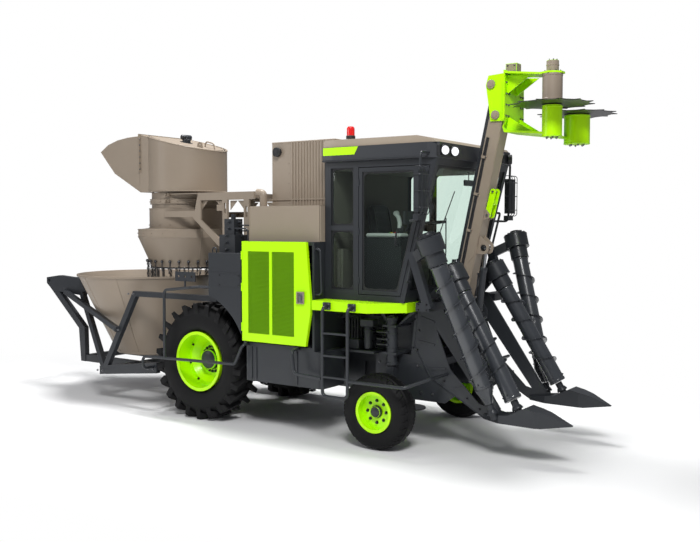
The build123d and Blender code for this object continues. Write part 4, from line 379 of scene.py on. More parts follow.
# Service doors: pressed steel in the lime two-pack enamel, hung on three pins each, with a woven
# wire guard set in both openings over a dark sheet of painted shade, which stands for the dark bay
# behind, and a satin lever latch.
# Two-pack enamel flows out smooth: full colour with a soft highlight. Dipped wire dries duller and
# darker, and the tan coat is satin, so its faces part by tone and not by shine.
lime_enamel = sprayed_paint("lime_two_pack_enamel", "#BDFB00", "#B4F400", 0.3, 0.12, 1.2, 700.0, 0.25)
guard_lime = sprayed_paint("lime_dipped_wire", "#74AE00", "#6CA300", 0.5, 0.0, 1.6, 380.0, 0.2)
tan_enamel = sprayed_paint("tan_sprayed_enamel", "#978A7B", "#8E8172", 0.44, 0.1, 1.6, 520.0, 0.3)
dress(lime_enamel, "service_door_left", "service_door_right")

rear_axle = middle("rear_tyre_left")[0][0]
front_axle = middle("front_tyre_left")[0][0]


def at(station, out, height):
    """A point by its station ahead of the rear axle, its offset to the left and its height."""
    return np.array((rear_axle + station, out, height))


def ahead(station, out, height):
    """A point by its station ahead of the front axle, its offset to the left and its height."""
    return np.array((front_axle + station, out, height))


def eased_box(low, high, ease):
    """A box between two opposite corners, its edges cut back by the ease: each corner is three points,
    one on each face."""
    low, high = np.minimum(low, high), np.maximum(low, high)
    corners = []
    for pick in np.ndindex(2, 2, 2):
        corner = np.where(pick, high, low)
        inward = np.where(pick, -ease, ease)
        corners += [corner + inward * keep for keep in ((0, 1, 1), (1, 0, 1), (1, 1, 0))]
    build = bmesh.new()
    for corner in corners:
        build.verts.new(corner)
    bmesh.ops.convex_hull(build, input=build.verts)
    bmesh.ops.dissolve_limit(build, angle_limit=0.02, verts=build.verts, edges=build.edges)
    build.verts.index_update()
    points = np.array([vert.co for vert in build.verts])
    faces = [[vert.index for vert in face.verts] for face in build.faces]
    build.free()
    return points, faces


def wire_guard(low, high, pitch, wire, y, hand):
    """A square weave: upright and level flats at one pitch, the level ones proud by half a wire."""
    shapes = []
    for x in np.arange(low[0] + pitch / 2.0, high[0], pitch):
        shapes.append(eased_box((x - wire / 2.0, y - wire / 2.0, low[1]),
            (x + wire / 2.0, y + wire / 2.0, high[1]), wire * 0.2))
    for z in np.arange(low[1] + pitch / 2.0, high[1], pitch):
        out = y + hand * wire * 0.5
        shapes.append(eased_box((low[0], out - wire / 2.0, z - wire / 2.0),
            (high[0], out + wire / 2.0, z + wire / 2.0), wire * 0.2))
    return joined(*shapes)


DOOR_FACE = 1.15
GUARD_STATIONS = ((0.915, 1.245), (1.285, 1.615))
GUARD_LOW, GUARD_HIGH = 1.18, 2.16
# A matt dark sheet behind each guard is painted shade: it stands for the shade of the bay behind the
# openings, so they read deeper than the door's face.
painted_shade_sheet = sprayed_paint("painted_shade_behind_guard", "#3F5C00", "#365000", 0.8, 0.0, 4.0, 380.0, 0.15)
for side, hand in (("left", 1.0), ("right", -1.0)):
    face = hand * DOOR_FACE
    guards, shade_sheets = [], []
    for start, end in GUARD_STATIONS:
        x0, x1 = rear_axle + start, rear_axle + end
        guards.append(wire_guard((x0, GUARD_LOW), (x1, GUARD_HIGH), 0.015, 0.0055, face - hand * 0.008,
            hand))
        shade_sheets.append(eased_box((x0, face - hand * 0.0145, GUARD_LOW),
            (x1, face - hand * 0.0125, GUARD_HIGH), 0.0002))
    body = f"service_door_{side}"
    piece(f"door_guard_{side}", joined(*guards), guard_lime, body)
    # The dark sheets behind the guards are painted shade, not a real part.
    piece(f"door_painted_shade_{side}", joined(*shade_sheets), painted_shade_sheet, body)
    latch_low = at(1.672, face + hand * 0.0121, 1.578)
    latch_high = at(1.768, face + hand * 0.0145, 1.702)
    plate = eased_box(latch_low, latch_high, 0.001)
    sides = [(at(a, face + hand * 0.0121, b), at(c, face + hand * 0.026, d))
        for a, b, c, d in ((1.665, 1.57, 1.775, 1.586), (1.665, 1.694, 1.775, 1.71),
            (1.665, 1.585, 1.681, 1.695), (1.759, 1.585, 1.775, 1.695))]
    frame_bars = joined(*[eased_box(a, b, 0.002) for a, b in sides])
    piece(f"latch_frame_{side}", frame_bars, tan_enamel, body)
    lever_low, lever_high = at(1.695, face + hand * 0.0146, 1.61), at(1.735, face + hand * 0.024, 1.67)
    lever = eased_box(lever_low, lever_high, 0.004)
    key = turned([(0.0, 0.011), (0.008, 0.011), (0.01, 0.008)], 16, at(1.742, face + hand * 0.0166, 1.585),
        (0, hand, 0))
    piece(f"door_latch_{side}", joined(plate, lever, key), plated_steel, body)

# Body shell, tank block and side tanks: folded and welded plate in the charcoal powder coat, with a
# lifting ring at the rear corner, strap irons round the tanks and drain cocks below them.


def round_rod(path, radius, sides=14, ends=True):
    """A round rod along a path of points: rings across the mean of the two runs at each point, kept
    from twisting by carrying the first ring's direction on from point to point."""
    path = np.array(path, float)
    run = np.gradient(path, axis=0)
    run /= np.linalg.norm(run, axis=1)[:, None]
    u = frame_of(run[0])[:, 0]
    rings = []
    angle = np.arange(sides) * 2.0 * np.pi / sides
    for point, w in zip(path, run):
        u = u - w * np.dot(u, w)
        u = u / np.linalg.norm(u)
        rings.append(point + radius * (np.cos(angle)[:, None] * u
            + np.sin(angle)[:, None] * np.cross(w, u)))
    skin, faces = grid(np.stack(rings), wrap_columns=True)
    if ends:
        last = (len(path) - 1) * sides
        faces = faces + [list(range(sides))[::-1], list(range(last, last + sides))]
    return skin, faces


def bent_path(corners, bend, steps=7):
    """Straight runs joined by arcs of one radius: at each corner the arc is tangent to both runs."""
    corners = [np.array(corner, float) for corner in corners]
    path = [corners[0]]
    for before, corner, after in zip(corners, corners[1:], corners[2:]):
        a, b = before - corner, after - corner
        la, lb = np.linalg.norm(a), np.linalg.norm(b)
        a, b = a / la, b / lb
        half = np.arccos(np.clip(np.dot(a, b), -1.0, 1.0)) / 2.0
        reach = min(bend / max(np.tan(half), 1e-6), 0.48 * la, 0.48 * lb)
        radius = reach * np.tan(half)
        centre = corner + (a + b) / np.linalg.norm(a + b) * radius / np.sin(half)
        start, end = corner + a * reach - centre, corner + b * reach - centre
        sweep = np.pi - 2.0 * half
        for share in np.linspace(0.0, 1.0, steps):
            path.append(centre + (start * np.sin((1.0 - share) * sweep) + end * np.sin(share * sweep))
                / np.sin(sweep))
    return np.array(path + [corners[-1]])


def bent_rod(corners, bend, radius, sides=14):
    """A round rod through corners, bent at each."""
    return round_rod(bent_path(corners, bend), radius, sides)


trim = []
for hand in (1.0, -1.0):
    ring = [at(0.33 + 0.035 * np.cos(a), hand * 1.1, 2.155 + 0.04 * np.sin(a))
        for a in np.linspace(0.0, 2.0 * np.pi, 25)]
    trim.append(round_rod(ring, 0.009))
piece("body_lifting_rings", joined(*trim), charcoal_paint, "chassis")

straps, drains = [], []
tank_low, tank_high = np.array(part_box("side_tanks"))
for hand in (1.0, -1.0):
    for station in (0.93, 1.0, 1.62):
        x = rear_axle + station
        outer, inner = hand * (tank_high[1] + 0.004), hand * 0.64
        loop = bent_path([(x, inner, tank_low[2] - 0.004), (x, outer, tank_low[2] - 0.004), (x, outer, 1.0),
                          (x, outer - hand * 0.02, 1.02)], 0.055)
        straps.append(round_rod(loop, 0.011, 8))
    for station in (1.05, 1.75):
        spot = at(station, hand * 0.98, tank_low[2])
        drains.append(turned([(0.0, 0.022), (0.012, 0.022), (0.014, 0.015), (0.035, 0.015), (0.038, 0.01)],
            6, spot, (0, 0, -1)))
        drains.append(round_rod([spot + (0, 0, -0.03), spot + (0, hand * 0.05, -0.03)], 0.005, 8))
piece("tank_straps", joined(*straps), charcoal_paint, "chassis")
piece("tank_drain_cocks", joined(*drains), plated_steel, "chassis")

# Grab handles at the front corners of the bay: bent tube welded on two small pads.
handles = []
for hand in (1.0, -1.0):
    handles.append(bent_rod([at(1.868, hand * 1.075, 2.2), at(1.94, hand * 1.075, 2.2),
        at(1.955, hand * 1.075, 1.68), at(1.868, hand * 1.075, 1.68)], 0.05, 0.0125))
    for z in (2.2, 1.68):
        handles.append(eased_box(at(1.869, hand * 1.075 - 0.03, z - 0.035),
            at(1.877, hand * 1.075 + 0.03, z + 0.035), 0.002))
piece("bay_grab_handles", joined(*handles), charcoal_paint, "chassis")

# Platform and ladder: lime folded deck with raised studs to stand on, a folded lip, and cast clamps
# bolted over the ladder's two ends. The studs are pressed up out of the sheet.
dress(lime_enamel, "platform")
deck_low, deck_high = np.array(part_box("platform"))


def tread_studs(x_limits, y_limits, z, pitch, radius):
    """Pressed studs: low domes of two rings on a staggered grid, kept where the deck is open."""
    columns, rows = np.meshgrid(np.arange(x_limits[0], x_limits[1], pitch),
        np.arange(y_limits[0], y_limits[1], pitch))
    columns = columns + (np.arange(columns.shape[0]) % 2)[:, None] * pitch / 2.0
    dome = closed_ring([(-0.001, radius), (0.0022, radius * 0.8), (0.0034, radius * 0.4)], 8)
    return joined(*[(dome[0] + (x, y, z), dome[1]) for x, y in zip(columns.ravel(), rows.ravel())])


studs = []
for hand in (1.0, -1.0):
    y_limits = sorted((hand * 0.92, hand * 1.13))
    studs.append(tread_studs((deck_low[0] + 0.03, rear_axle + 2.6), y_limits, deck_high[2], 0.04, 0.011))
studs.append(tread_studs((rear_axle + 2.96, rear_axle + 2.99), (-0.8, 0.8), deck_high[2], 0.04, 0.011))
piece("platform_studs", joined(*studs), lime_enamel, "chassis")
clamps, clamp_bolts = [], []
for station in (2.09, 2.43):
    low, high = at(station - 0.05, -1.172, 1.525), at(station + 0.05, -1.1502, 1.607)
    clamps.append(eased_box(low, high, 0.005))
    for dx in (-0.036, 0.036):
        for z in (1.54, 1.592):
            clamp_bolts.append(nut(0.016, at(station + dx, -1.172, z), (0, -1, 0)))
piece("ladder_clamps", joined(*clamps), charcoal_paint, "chassis")
piece("ladder_clamp_bolts", joined(*clamp_bolts), plated_steel, "chassis")

# Cooling housing: tan sheet with trapezoid ribs, a capped filler knob high at the rear, a folded top
# edge, the elbow of the exhaust and a red warning lamp on a black base.
dress(tan_enamel, "cooling_housing")
black_plastic = sprayed_paint("moulded_black_nylon", "#1B1C1E", "#222326", 0.5, 0.0, 1.0)
tower_low, tower_high = at(0.93, -0.7, 2.7), at(1.87, 0.7, 3.48)
trim = [eased_box((tower_low[0] - 0.004, -0.704, 3.462), (tower_high[0] + 0.004, 0.704, 3.484), 0.004)]
for hand in (1.0, -1.0):
    low, high = at(0.93, hand * 0.7, 2.772), at(1.87, hand * 0.7155, 2.79)
    trim.append(eased_box(low, high, 0.003))
    for station in (0.8, 1.87):
        trim.append(round_rod([at(station + 0.02, hand * 1.0, 2.29), at(station + 0.02, hand * 1.0, 2.69)],
            0.006, 8))
rivets = [turned([(0.0, 0.007), (0.003, 0.006), (0.0045, 0.002)], 8, at(station, hand * 0.7, z),
    (0, hand, 0)) for hand in (1.0, -1.0) for station in (0.95, 1.19) for z in np.arange(2.74, 3.45, 0.12)]
piece("tower_trim", joined(*trim, *rivets), tan_enamel, "chassis")
knob = turned([(0.0, 0.05), (0.02, 0.05), (0.022, 0.06), (0.05, 0.058), (0.058, 0.045), (0.06, 0.02)], 12,
    at(1.03, -0.7, 3.36), (0, -1, 0))
piece("tower_filler_cap", knob, black_plastic, "chassis")

elbow = bent_path([at(0.87, -0.8, 2.7), at(0.87, -0.8, 2.862), at(0.775, -0.8, 2.872)], 0.04, 10)
outlet = round_rod(elbow, 0.047, 20, ends=False)
lining = round_rod(elbow, 0.042, 20, ends=False)
piece("exhaust_elbow", joined(outlet, lining), tan_enamel, "chassis")

beacon_low = at(1.62, 0.0, 3.55)


def tinted_lens(name, shade, glow):
    """Injection-moulded acrylic over a lamp: its colour on an opaque glossy face, a little lit inside."""
    material, shader = new_material(name)
    place = add_node(material, "ShaderNodeTexCoord")
    flutes = add_node(material, "ShaderNodeTexWave", {"Scale": 40.0, "Distortion": 0.0},
        {"Vector": place.outputs["Object"]})
    relief = relief_of(material, 0.3, 0.001, flutes.outputs["Fac"])
    return feed(material, shader, {"Normal": relief.outputs["Normal"]},
                {"Base Color": linear(shade), "Roughness": 0.12, "Coat Weight": 0.6,
                 "Emission Color": linear(shade), "Emission Strength": glow})


red_lens = tinted_lens("red_acrylic_lens", "#D01818", 0.25)
dome = closed_ring([(0.035, 0.0495), (0.12, 0.0495), (0.135, 0.046), (0.147, 0.036), (0.1505, 0.02),
    (0.151, 0.006)], 28)
piece("beacon_lens", facing(dome, beacon_low, (0, 0, 1)), red_lens, "chassis")
base = closed_ring([(-0.002, 0.058), (0.03, 0.058), (0.037, 0.053)], 28)
piece("beacon_base", facing(base, beacon_low, (0, 0, 1)), black_plastic, "chassis")

# Cab roof and band: moulded sheet, sprayed charcoal, masked at the seam and sprayed tan above it. Two
# round lamps sit in a black pod at each front corner, and a bare lime plate is riveted at the rear.


def two_tone(name, lower, upper, height):
    """Two coats on one sheet, masked at a height: the upper pair of shades starts above it."""
    material, shader = new_material(name)
    place = add_node(material, "ShaderNodeTexCoord")
    parts = add_node(material, "ShaderNodeSeparateXYZ", (), {0: place.outputs["Object"]})
    above = add_node(material, "ShaderNodeMath", {1: height}, {0: parts.outputs["Z"]},
        operation="GREATER_THAN")
    drift = clouds(material, place, 1.8, 4.0)
    low = shades(material, *lower, drift.outputs["Fac"])
    high = shades(material, *upper, drift.outputs["Fac"])
    tone = add_node(material, "ShaderNodeMix", (),
        {0: above.outputs[0], 6: low.outputs[2], 7: high.outputs[2]}, data_type="RGBA")
    pebble = clouds(material, place, 150.0, 2.0)
    relief = relief_of(material, 0.12, 0.0006, pebble.outputs["Fac"])
    return feed(material, shader, {"Base Color": tone.outputs[2], "Normal": relief.outputs["Normal"]},
                {"Roughness": 0.42, "Coat Weight": 0.2})


roof_high = np.array(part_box("cab_roof"))[1]
band_top = roof_high[2] - 0.085
roof_paint = two_tone("roof_two_tone_enamel", ("#303338", "#292B2F"), ("#A39686", "#9A8D7C"), band_top)
dress(roof_paint, "cab_roof")
lamp_x = roof_high[0]
pods, bezels, lenses = [], [], []
for hand in (1.0, -1.0):
    low, high = (lamp_x - 0.05, hand * 0.49, 3.2), (lamp_x - 0.006, hand * 0.912, 3.332)
    pods.append(eased_box(low, high, 0.012))
    for out in (0.6, 0.82):
        spot, way = (lamp_x - 0.01, hand * out, 3.267), (1, hand * 0.55, 0)
        bezels.append(turned([(0.0, 0.059), (0.042, 0.059), (0.047, 0.055), (0.047, 0.05), (0.036, 0.048)],
            36, spot, way))
        lenses.append(turned([(0.034, 0.0495), (0.04, 0.047), (0.0445, 0.037), (0.047, 0.022),
            (0.0475, 0.004)], 32, spot, way))
piece("lamp_pods", joined(*pods), black_plastic, "chassis")
piece("lamp_bezels", joined(*bezels), black_plastic, "chassis")
lamp_glass = tinted_lens("pressed_lamp_glass", "#F4F6F8", 0.6)
piece("lamp_lenses", joined(*lenses), lamp_glass, "chassis")


def cut_plate(outline, holes, place, thick):
    """A flat plate cut from a sheet: a tessellated face with its holes, its copy at the thickness and
    the walls between. place(a, b, depth) puts a point of the sheet in the object."""
    loops = [list(outline)] + [list(hole) for hole in holes]
    flat = [[Vector((a, b, 0.0)) for a, b in loop] for loop in loops]
    triangles = tessellate_polygon(flat)
    every = [pair for loop in loops for pair in loop]
    count = len(every)
    points = [place(a, b, 0.0) for a, b in every] + [place(a, b, thick) for a, b in every]
    faces = [list(t) for t in triangles] + [[i + count for i in t][::-1] for t in triangles]
    start = 0
    for loop in loops:
        n = len(loop)
        faces += [[start + i, start + (i + 1) % n, start + (i + 1) % n + count, start + i + count]
            for i in range(n)]
        start += n
    return np.array(points, float), faces


def side_plate(point, hand, out, outline, thick, holes=()):
    """A plate standing lengthwise, its near face at an offset out to one hand; point is at or ahead."""
    return cut_plate(outline, holes, lambda a, b, d: point(a, hand * (out + d), b), thick)


def inset_loop(corners, inset, radius, steps=7):
    """A convex outline moved inward by an inset, its corners rounded by arcs tangent to both sides."""
    corners = np.array(corners, float)
    moved = []
    for before, corner, after in zip(np.roll(corners, 1, 0), corners, np.roll(corners, -1, 0)):
        a, b = ((before - corner) / np.linalg.norm(before - corner),
            (after - corner) / np.linalg.norm(after - corner))
        moved.append(corner + (a + b) * inset / abs(a[0] * b[1] - a[1] * b[0]))
    closed = [np.append((moved[-1] + moved[0]) / 2.0, 0.0)] + [np.append(p, 0.0) for p in moved]
    closed += [np.append((moved[-1] + moved[0]) / 2.0, 0.0)]
    return bent_path(closed, radius, steps)[:-1, :2]


# Extruded rubber: an even black that draws a thin line round each pane.
nitrile = sprayed_paint("extruded_nitrile_seal", "#17181A", "#1D1E20", 0.55, 0.0, 1.0)
deck = deck_high[2]


def screen_x(height, back):
    """Station ahead of the front axle of the leaning cab front at a height, moved back."""
    return 0.26 - back + 0.258 * (height - deck)


def opening(back, low, top, rear):
    """Corners of a doorway or pane that follows the leaning front, as station and height."""
    return [(rear, low), (screen_x(low, back), low), (screen_x(top, back), top), (rear, top)]


seals = []
for hand in (1.0, -1.0):
    panes = [([(-0.72, low), (-0.405, low), (-0.405, top), (-0.72, top)], 0.8785)
        for low, top in ((1.74, 2.41), (2.47, 3.12))]
    if hand > 0:
        panes.append((opening(0.062, 1.69, 3.12, -0.34), 0.8785))
    for outline, out in panes:
        seals.append(side_plate(ahead, hand, out, outline, 0.004, [inset_loop(outline, 0.02, 0.05)]))
piece("cab_pane_seals", joined(*seals), nitrile, "chassis")
outline = opening(0.115, 1.743, 3.067, -0.287)
door_seal = cut_plate(outline, [inset_loop(outline, 0.02, 0.06)], lambda a, b, d: ahead(a, -0.8845 - d, b),
    0.004)
piece("door_pane_seal", door_seal, nitrile, "cab_door")
outline = [(-0.838, 1.76), (0.838, 1.76), (0.838, 3.12), (-0.838, 3.12)]
screen_seal = cut_plate(outline, [inset_loop(outline, 0.03, 0.09)],
                        lambda a, b, d: ahead(screen_x(b, 0.0215) + d, a, b), 0.004)
piece("screen_seal", screen_seal, nitrile, "chassis")

DOOR_AXIS = (-0.332, -0.9)
fittings = []
for height in (1.85, 2.4, 2.95):
    fittings.append(turned([(-0.035, 0.008), (-0.034, 0.011), (0.034, 0.011), (0.035, 0.008)], 12,
        ahead(*DOOR_AXIS, height), (0, 0, 1)))
handle = bent_path([ahead(0.17, -0.9, 2.25), ahead(0.17, -0.945, 2.25), ahead(0.19, -0.945, 2.4),
    ahead(0.19, -0.9, 2.4)], 0.02)
piece("cab_door_handle", round_rod(handle, 0.009), black_plastic, "cab_door")
piece("cab_door_hinges", joined(*fittings), charcoal_paint, "chassis")

wiper_low, wiper_high = ahead(screen_x(1.8, -0.016), -0.1, 1.8), ahead(screen_x(2.55, -0.016), -0.42, 2.55)
blade_a, blade_b = ahead(screen_x(2.25, -0.004), -0.5, 2.25), ahead(screen_x(2.85, -0.004), -0.34, 2.85)
wiper = joined(round_rod([wiper_low, (wiper_low + wiper_high) / 2.0 + (0.012, 0, 0), wiper_high], 0.007, 8),
    round_rod([blade_a, blade_b], 0.006, 8), round_rod([wiper_high, (blade_a + blade_b) / 2.0], 0.005, 8),
    turned([(0.0, 0.02), (0.03, 0.018), (0.036, 0.01)], 16, ahead(screen_x(1.8, 0.002), -0.1, 1.8),
    (1, 0, 0)))
piece("screen_wiper", wiper, black_plastic, "chassis")
plate_y = -roof_high[1] - 0.0005
lime_plate = cut_plate([(-0.79, 3.262), (-0.36, 3.262), (-0.31, 3.35), (-0.79, 3.35)], [],
                       lambda a, b, d: ahead(a, plate_y - d, b), 0.003)
piece("roof_side_plate", lime_plate, lime_enamel, "chassis")
gutter = [ahead(-0.8, plate_y - 0.003, 3.2), ahead(0.56, plate_y - 0.003, 3.2)]
piece("roof_gutter", joined(round_rod(gutter, 0.008, 8),
    round_rod([g * (1, -1, 1) for g in gutter], 0.008, 8)), charcoal_paint, "chassis")

# Cab glass: toughened panes, faintly green, clear enough to see the inside; the door pane the same.


def toughened_glass(name, shade):
    """Flat toughened glass as a clear sheet with a mirror sheen: 0.035 + 0.8 facing ** 5 of the light
    is reflected on its outer face, the rest passes straight through."""
    material, shader = new_material(name)
    slope = add_node(material, "ShaderNodeLayerWeight", {"Blend": 0.5})
    steep = add_node(material, "ShaderNodeMath", {1: 5.0}, {0: slope.outputs["Facing"]}, operation="POWER")
    share = add_node(material, "ShaderNodeMath", {1: 0.8, 2: 0.035}, {0: steep.outputs[0]},
        operation="MULTIPLY_ADD")
    side = add_node(material, "ShaderNodeNewGeometry")
    outer = add_node(material, "ShaderNodeMath", {0: 1.0}, {1: side.outputs["Backfacing"]},
        operation="SUBTRACT")
    sheen = add_node(material, "ShaderNodeMath", (), {0: share.outputs[0], 1: outer.outputs[0]},
        operation="MULTIPLY")
    through = add_node(material, "ShaderNodeBsdfTransparent", {"Color": linear(shade)})
    mirror = add_node(material, "ShaderNodeBsdfGlossy",
        {"Color": (0.9, 0.95, 0.93, 1.0), "Roughness": 0.02})
    mixed = add_node(material, "ShaderNodeMixShader", (),
        {0: sheen.outputs[0], 1: through.outputs[0], 2: mirror.outputs[0]})
    material.node_tree.links.new(mixed.outputs[0],
        material.node_tree.nodes["Material Output"].inputs["Surface"])
    material.node_tree.nodes.remove(shader)
    return material


clear_pane = toughened_glass("toughened_cab_glass", "#F4FAF7")
dress(clear_pane, "cab_glass", "door_glass")

# Cab inside: moulded panels in a warm grey, a rubber floor mat, console with a pale moulded armrest,
# joystick and keys, two lidded boxes, and black mouldings for the column and pedestal.
dress(black_plastic, "cab_fittings")
# Matt moulded trim keeps the cab's inside quiet behind the glass; the pale grey stands out in it.
lining = sprayed_paint("moulded_trim_warm_grey", "#57534C", "#4E4A44", 0.7, 0.0, 2.4, 380.0, 0.3)
pale_plastic = sprayed_paint("moulded_pale_grey_abs", "#B9BAB8", "#AFB0AE", 0.45, 0.0, 1.2)
panels = [eased_box(ahead(-0.738, -0.835, deck + 0.065), ahead(-0.722, 0.835, 3.12), 0.006),
    eased_box(ahead(-0.72, 0.812, deck + 0.07), ahead(-0.02, 0.834, 1.735), 0.006),
    eased_box(ahead(-0.715, 0.3, deck + 0.066), ahead(-0.34, 0.8, 2.12), 0.02),
    eased_box(ahead(-0.715, -0.8, deck + 0.066), ahead(-0.63, -0.48, 2.2), 0.016),
    eased_box(ahead(-0.14, 0.34, deck + 0.075), ahead(0.1, 0.7, 1.93), 0.02),
    eased_box(ahead(-0.735, -0.83, 3.095), ahead(0.5, 0.83, 3.126), 0.012)]
piece("cab_lining_panels", joined(*panels), lining, "chassis")
mat = cut_plate([(-0.7, -0.82), (0.16, -0.82), (0.16, 0.82), (-0.7, 0.82)], [],
    lambda a, b, d: ahead(a, b, deck + 0.061 + d), 0.006)
ribs = [eased_box(ahead(-0.28, y, deck + 0.066), ahead(0.15, y + 0.006, deck + 0.07), 0.001)
    for y in np.arange(-0.8, 0.8, 0.022)]
piece("cab_floor_mat", joined(mat, *ribs), nitrile, "chassis")
CONSOLE_TOP = 2.378
armrest = eased_box(ahead(-0.53, -0.47, 2.331), ahead(-0.05, -0.27, CONSOLE_TOP), 0.018)
grip_path = [ahead(-0.12, -0.37, 2.44), ahead(-0.115, -0.37, 2.5), ahead(-0.13, -0.37, 2.56),
    ahead(-0.16, -0.37, 2.6)]
grip = joined(round_rod(grip_path, 0.026, 16), turned([(-0.02, 0.02), (0.0, 0.036), (0.02, 0.036),
    (0.036, 0.022), (0.04, 0.008)], 18, grip_path[-1], (-0.3, 0, 1)))
piece("console_armrest", joined(armrest, grip), pale_plastic, "chassis")
boot = turned([(0.0, 0.05), (0.012, 0.044), (0.02, 0.046), (0.03, 0.036), (0.038, 0.038), (0.05, 0.026),
    (0.066, 0.022)], 20, ahead(-0.12, -0.37, CONSOLE_TOP), (0, 0, 1))
screen_box = joined(eased_box(ahead(0.17, -0.78, 2.48), ahead(0.2, -0.56, 2.63), 0.01),
    round_rod([ahead(0.19, -0.68, 2.48), ahead(0.22, -0.8, 2.4)], 0.009, 8),
    eased_box(ahead(0.46, 0.1, 2.93), ahead(0.48, 0.34, 3.0), 0.008),
    round_rod([ahead(0.47, 0.22, 3.0), ahead(0.47, 0.22, 3.1)], 0.006, 8))
piece("console_boot_and_monitor", joined(boot, screen_box), black_plastic, "chassis")
for name, shade, spot in (("red", "#C42A1C", (-0.2, -0.33)), ("yellow", "#D9B21A", (-0.2, -0.41)),
        ("green", "#3F9A3A", (-0.27, -0.33))):
    keys = turned([(0.0, 0.014), (0.008, 0.014), (0.011, 0.011), (0.0115, 0.004)], 14,
        ahead(*spot, CONSOLE_TOP), (0, 0, 1))
    piece(f"console_key_{name}", keys, sprayed_paint(f"moulded_key_{name}", shade, shade, 0.4, 0.0,
        1.0), "chassis")

# Seat: foam cushion and back in black woven cloth with sewn cross channels and raised side bolsters,
# on a scissor suspension under a gaiter.


def cube_skin(count):
    """The six faces of a cube from -1 to 1 as grids of points, for welding into one closed skin."""
    line = np.tan(np.linspace(-0.78, 0.78, count)) / np.tan(0.78)
    a, b = np.meshgrid(line, line, indexing="ij")
    one = np.ones_like(a)
    sheets = [np.stack(order, -1) for order in ((a, b, one), (b, a, -one), (one, a, b), (-one, b, a),
        (b, one, a), (a, -one, b))]
    return joined(*[grid(sheet) for sheet in sheets])


def sewn_pad(half, full, crown, channels, bolster, count=44):
    """A foam pad about the origin: the superellipsoid |x|^n + |y|^n + |z|^n = 1 scaled to its halves, its
    top raised by a crown and by bolsters near |y| = 1, cut by channels, its sides drawn in between
    the corners by a cosine."""
    points, faces = cube_skin(count)
    p = points / (np.abs(points) ** full).sum(1, keepdims=True) ** (1.0 / full)
    x, y, z = p.T
    top = np.clip(z, 0.0, 1.0) ** 2
    lift = crown * (1.0 - x**2) * (1.0 - y**2) + bolster * np.exp(-(((np.abs(y) - 0.78)
        / 0.16) ** 2)) * (1.0 - x**6)
    for spot in channels:
        lift = lift - 0.011 * np.exp(-(((x - spot) * half[0] / 0.007) ** 2)) * np.clip((0.7 - np.abs(y))
            / 0.06, 0.0, 1.0)
    lift = lift - 0.010 * np.exp(-(((np.abs(y) - 0.66) * half[1] / 0.006) ** 2))
    drawn = 1.0 - 0.025 * np.cos(x * np.pi / 2.0) * (1.0 - np.abs(z)) * (np.abs(y) > 0.5)
    seam = 1.0 + 0.012 * np.exp(-(((z - 0.35) / 0.05) ** 2))
    return np.stack([x * half[0] * seam * 0.985, y * half[1] * drawn * seam * 0.985,
        z * half[2] + top * lift], 1), faces


def woven_cloth(name, shade, deep, thread_mm=1.4):
    """Woven polyester: two crossed rows of threads at the pitch, matt, with a slight sheen."""
    material, shader = new_material(name)
    place = add_node(material, "ShaderNodeTexCoord")
    rows = [add_node(material, "ShaderNodeTexWave",
        {"Scale": 1000.0 / (thread_mm * 20.0), "Distortion": 0.4}, {"Vector": place.outputs["Object"]},
        bands_direction=way) for way in ("Y", "Z")]
    weave = add_node(material, "ShaderNodeMath", (), {0: rows[0].outputs["Fac"], 1: rows[1].outputs["Fac"]},
        operation="MULTIPLY")
    tone = shades(material, deep, shade, weave.outputs[0])
    relief = relief_of(material, 0.4, 0.0006, weave.outputs[0])
    return feed(material, shader, {"Base Color": tone.outputs[2], "Normal": relief.outputs["Normal"]},
                {"Roughness": 0.85, "Sheen Weight": 0.3})


def laid(shape, along, up, place):
    """A shape whose X and Z are turned on to two directions, then moved to a place."""
    w = np.array(up, float) / np.linalg.norm(up)
    u = np.array(along, float) - w * np.dot(along, w)
    u = u / np.linalg.norm(u)
    return shape[0] @ np.stack([u, np.cross(w, u), w]) + np.array(place), shape[1]


seat_cloth = woven_cloth("seat_woven_cloth", "#2A2B2E", "#151617")
cushion = laid(sewn_pad((0.235, 0.236, 0.05), 5.0, 0.010, (-0.5, -0.15, 0.2, 0.55), 0.012), (1, 0, 0.03),
    (-0.03, 0, 1), ahead(-0.4, 0.0, 2.184))
back_rest = laid(sewn_pad((0.262, 0.226, 0.042), 5.0, 0.008, (-0.6, -0.3, 0.0, 0.3, 0.6), 0.012),
    (-0.158, 0, 0.987), (0.987, 0, 0.158), ahead(-0.617, 0.0, 2.46))
seat = piece("driver_seat_pads", joined(cushion, back_rest), seat_cloth, "chassis", 50.0, 0.0001)
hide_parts("seat_cushion")
seat_base = joined(eased_box(ahead(-0.6, -0.2, 2.118), ahead(-0.2, 0.2, 2.136), 0.006),
    eased_box(ahead(-0.59, 0.228, 2.3), ahead(-0.3, 0.262, 2.36), 0.014),
    *[eased_box(ahead(-0.57, -0.192, z), ahead(-0.25, 0.192, z + 0.028), 0.012)
    for z in np.arange(1.84, 2.1, 0.031)])
piece("seat_gaiter_and_pan", seat_base, nitrile, "chassis")

